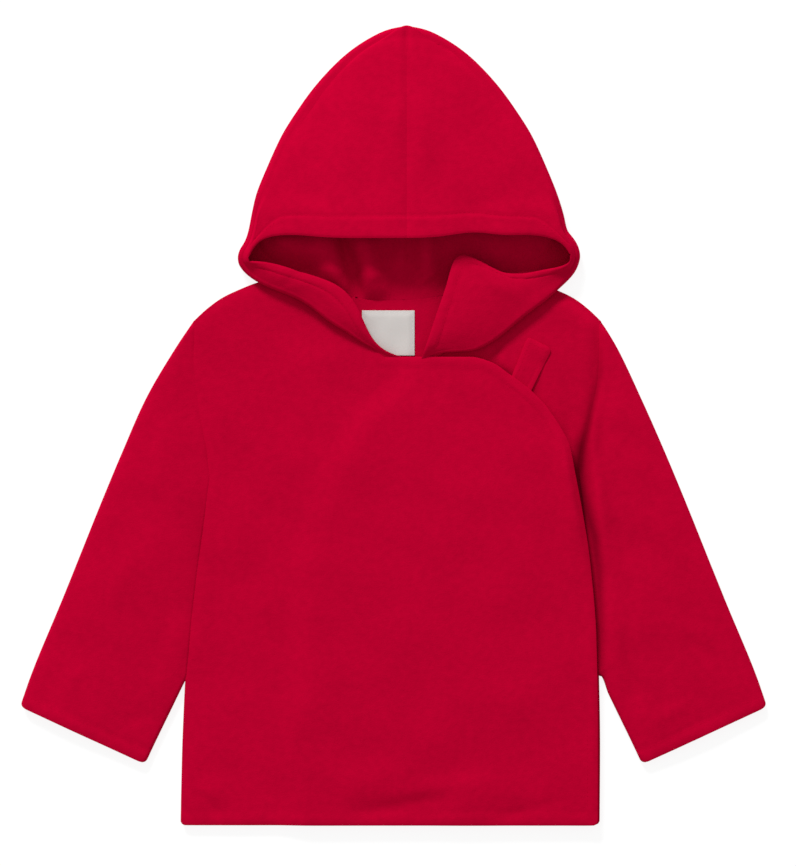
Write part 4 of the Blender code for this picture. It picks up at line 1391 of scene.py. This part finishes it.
def face_lines(grid, width, face_row):
    """Stitch lines above the forehead edge and beside the face."""
    ways = normals_of(grid)
    ways *= np.where(ways[..., 2:] < 0, -1.0, 1.0)
    above = [
        walk(grid[face_row::-1, column], ways[face_row::-1, column], width[face_row, column])
        for column in range(1, FRONT_COLUMNS - 2)
    ]
    strip = slice(FRONT_COLUMNS, FRONT_COLUMNS + STRIP_COLUMNS)
    beside = [
        walk(grid[row, strip], ways[row, strip], LIP_BAND)
        for row in range(face_row + 2, len(grid))
        if run_lengths(grid[row, strip])[-1] > LIP_BAND + STITCH_ROOM
    ]
    return [tuple(np.array(part) for part in zip(*line)) for line in (above, beside)]


def build_hood_half(side, whose):
    """Half of the hood, and the stitches along its face edge."""
    corner, lip = (CORNER_LEFT, LIP_LEFT) if side > 0 else (CORNER_RIGHT, LIP_RIGHT)
    grid, width, face_row, neck_row = dressed_hood(side, corner, lip)
    back_start = grid.shape[1] - BACK_COLUMNS - 1

    def missing(row, column):
        above_face = row >= face_row and column < FRONT_COLUMNS
        return above_face or (row >= neck_row and column >= back_start)

    half = fleece_piece(f"hood_{whose}_cloth", grid, missing=missing)
    lines = face_lines(grid, width, face_row)
    return half, stitched(f"hood_{whose}_stitches", lines, thread_of(f"hood {whose} thread"))


def build_tab():
    """The tab, rounded at its free corners, with a stitch line round it."""
    way = np.subtract(TAB_END[0], TAB_ROOT[0])
    way /= np.linalg.norm(way)
    left, right = [
        lerp(root - way * TAB_TUCK, end, TAB_ROWS) for root, end in zip(TAB_ROOT, TAB_END)
    ]
    flat = np.array([lerp(start, end, TAB_COLUMNS) for start, end in zip(left, right)])
    column_at = np.arange(TAB_COLUMNS)
    to_side = np.minimum(column_at, column_at[::-1]) / (TAB_COLUMNS - 1) * TAB_WIDTH
    near = np.clip(1 - to_side / CORNER_RADIUS, 0, 1)
    drawn = CORNER_RADIUS * (1 - np.sqrt(1 - near**2))
    fading = np.linspace(0, 1, TAB_ROWS)[:, None] ** TAB_ROUND_POWER
    flat -= (fading * drawn)[..., None] * way
    end = lerp(left[-1], right[-1], TAB_COLUMNS)
    outline = np.concatenate([left, end[1:], right[::-1][1:]])
    level = WALL / 2 + TAB_AIR + TAB_WALL / 2

    def height(x, y):
        away = distance_to(x, y, outline)
        from_root = np.hypot(x - TAB_ROOT[1][0], y - TAB_ROOT[1][1])
        near_root = smoothstep((TAB_ROOT_FAR - from_root) / TAB_ROOT_FADE)
        sink = TAB_SOFT * (1 - smoothstep(away / TAB_SOFT_WIDTH)) * (1 - near_root)
        raised = TAB_BAND_SHARE * band(away, TAB_BAND) + TAB_UNEVEN * uneven(2 * x, 2 * y)
        return underlap_height(x, y) + level - sink + raised

    tab = fleece_piece("tab_cloth", with_height(flat, height), TAB_WALL / WALL)
    root_skip, corner_skip = TAB_ROOT_SKIP, TAB_CORNER_SKIP
    line = np.concatenate([
        inset_line(left, TAB_BAND, right[0] - left[0])[root_skip:-corner_skip],
        inset_line(end, TAB_BAND, left[0] - left[-1])[corner_skip:-corner_skip],
        inset_line(right, TAB_BAND, left[0] - right[0])[::-1][corner_skip:-root_skip],
    ])
    return tab, stitched("tab_stitches", [on_side(line, height, TAB_WALL)], thread_of("tab thread"))


def build_label():
    """The bare satin label, sewn down along its sides and its top."""
    half = LABEL_WIDTH / 2
    across = np.linspace(LABEL_CENTRE_X - half, LABEL_CENTRE_X + half, LABEL_COLUMNS)
    along = np.linspace(LABEL_TOP_Y, LABEL_FOOT_Y, LABEL_ROWS)
    flat = np.dstack(np.meshgrid(across, along))
    level = BACK_LEVEL + WALL / 2 + LABEL_WALL / 2 + LABEL_AIR

    def height(x, y):
        side = np.minimum(half - abs(x - LABEL_CENTRE_X), LABEL_TOP_Y - y)
        puff = LABEL_PUFF * smoothstep(side / LABEL_PUFF_WIDTH)
        return level + puff + LABEL_UNEVEN * uneven(3 * x, 2 * y) * smoothstep(side / LABEL_CALM)

    satin = satin_material("label satin", bpy.context.scene.jacket_label.colour)
    grid = with_height(flat, height)
    label = sheet_piece("label_satin_sheet", grid, LABEL_WALL, LABEL_RIM, satin)
    right, left = across[0] + LABEL_EDGE, across[-1] - LABEL_EDGE
    foot, top = LABEL_FOOT_Y + LABEL_EDGE, LABEL_TOP_Y - LABEL_EDGE
    corners = ((right, foot), (right, top), (left, top), (left, foot))
    line = np.concatenate([
        lerp(start, end, LABEL_POINTS) for start, end in zip(corners[:-1], corners[1:])
    ])
    thread = plain_material("label thread", LABEL_THREAD, roughness=0.5)[0]
    return label, stitched("label_stitches", [on_side(line, height, LABEL_WALL)], thread)


class JACKET_OT_body(bpy.types.Operator):
    """Builds the back and both fronts, with their hems"""

    bl_idname = "jacket.body"
    bl_label = "Build Body"

    def execute(self, context):
        back, overlap, underlap = build_back(), build_overlap(), build_underlap()
        hem, back_hem = hem_stitching(), back_hem_stitching()
        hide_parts("back_panel")
        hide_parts("overlap_front")
        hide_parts("underlap_front")
        return {"FINISHED"}


class JACKET_OT_sleeves(bpy.types.Operator):
    """Builds both sleeves, folded flat, with their cuffs"""

    bl_idname = "jacket.sleeves"
    bl_label = "Build Sleeves"

    def execute(self, context):
        for side, whose in SIDES:
            sleeve, stitches = build_sleeve(side, whose)
            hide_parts(f"sleeve_{whose}")
        return {"FINISHED"}


class JACKET_OT_hood(bpy.types.Operator):
    """Builds both halves of the hood, with the stitched face edge"""

    bl_idname = "jacket.hood"
    bl_label = "Build Hood"

    def execute(self, context):
        for side, whose in SIDES:
            half, stitches = build_hood_half(side, whose)
            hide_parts(f"hood_{whose}")
        return {"FINISHED"}


class JACKET_OT_trim(bpy.types.Operator):
    """Builds the closure tab and the bare neck label"""

    bl_idname = "jacket.trim"
    bl_label = "Build Tab and Label"

    def execute(self, context):
        tab, tab_stitches = build_tab()
        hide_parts("closure_tab")
        label, label_stitches = build_label()
        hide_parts("neck_label")
        return {"FINISHED"}


class JACKET_OT_stage(bpy.types.Operator):
    """Sets a white floor, soft light and the camera straight above"""

    bl_idname = "jacket.stage"
    bl_label = "Set Stage"

    def execute(self, context):
        settings = context.scene.jacket_stage
        bpy.ops.object.select_all(action="DESELECT")
        bpy.ops.mesh.primitive_plane_add(size=FLOOR_SIZE, location=(0, 0, 0))
        floor = context.object
        floor.name = "floor"
        pale = (settings.floor, settings.floor, settings.floor, 1.0)
        material, shader = plain_material("floor paper", pale, roughness=0.9)
        shader.inputs["Specular IOR Level"].default_value = 0.0
        shader.inputs["Emission Color"].default_value = WHITE
        shader.inputs["Emission Strength"].default_value = settings.glow
        own_material(floor, material)

        bpy.ops.object.light_add(type="AREA", location=KEY_PLACE)
        key = context.object
        key.name = "key"
        key.data.shape = "RECTANGLE"
        key.data.size, key.data.size_y = KEY_SIZE
        key.data.energy = settings.key_power
        key.rotation_euler = (-Vector(KEY_PLACE)).to_track_quat("-Z", "Y").to_euler()

        bpy.ops.object.camera_add(location=(*CAMERA_PLACE, settings.height), rotation=(0, 0, 0))
        camera = context.object
        camera.name = "camera"
        camera.data.lens = CAMERA_LENS
        camera.data.clip_end = CAMERA_REACH
        context.scene.camera = camera

        context.scene.view_settings.view_transform = "Standard"
        world = context.scene.world or bpy.data.worlds.new("World")
        context.scene.world = world
        world.use_nodes = True
        sky = world.node_tree.nodes["Background"]
        sky.inputs["Color"].default_value = WHITE
        sky.inputs["Strength"].default_value = settings.sky
        return {"FINISHED"}


class JACKET_PT_panel(bpy.types.Panel):
    """Sizes, colours and pieces of the jacket"""

    bl_idname = "JACKET_PT_panel"
    bl_label = "Fleece Jacket"
    bl_space_type = "VIEW_3D"
    bl_region_type = "UI"
    bl_category = "Jacket"

    def draw(self, context):
        for title, group in SETTINGS.items():
            box = self.layout.box()
            box.label(text=title.replace("_", " ").capitalize())
            for name in group.__annotations__:
                box.prop(getattr(context.scene, title), name)
        for operator in OPERATORS:
            self.layout.operator(operator.bl_idname)


SETTINGS = {
    "jacket_cloth": JacketCloth,
    "jacket_stitching": JacketStitching,
    "jacket_label": JacketLabel,
    "jacket_stage": JacketStage,
}
OPERATORS = (JACKET_OT_body, JACKET_OT_sleeves, JACKET_OT_hood, JACKET_OT_trim, JACKET_OT_stage)


def register():
    """Adds the settings, the operators and the panel to Blender."""
    for name, group in SETTINGS.items():
        bpy.utils.register_class(group)
        setattr(bpy.types.Scene, name, bpy.props.PointerProperty(type=group))
    for made in (*OPERATORS, JACKET_PT_panel):
        bpy.utils.register_class(made)


def unregister():
    """Takes them out again, in the other order."""
    for made in (JACKET_PT_panel, *reversed(OPERATORS)):
        bpy.utils.unregister_class(made)
    for name, group in reversed(SETTINGS.items()):
        delattr(bpy.types.Scene, name)
        bpy.utils.unregister_class(group)


def main():
    """Builds the jacket and its stage."""
    register()
    bpy.ops.jacket.body()
    bpy.ops.jacket.sleeves()
    bpy.ops.jacket.hood()
    bpy.ops.jacket.trim()
    bpy.ops.jacket.stage()


if __name__ == "__main__":
    main()
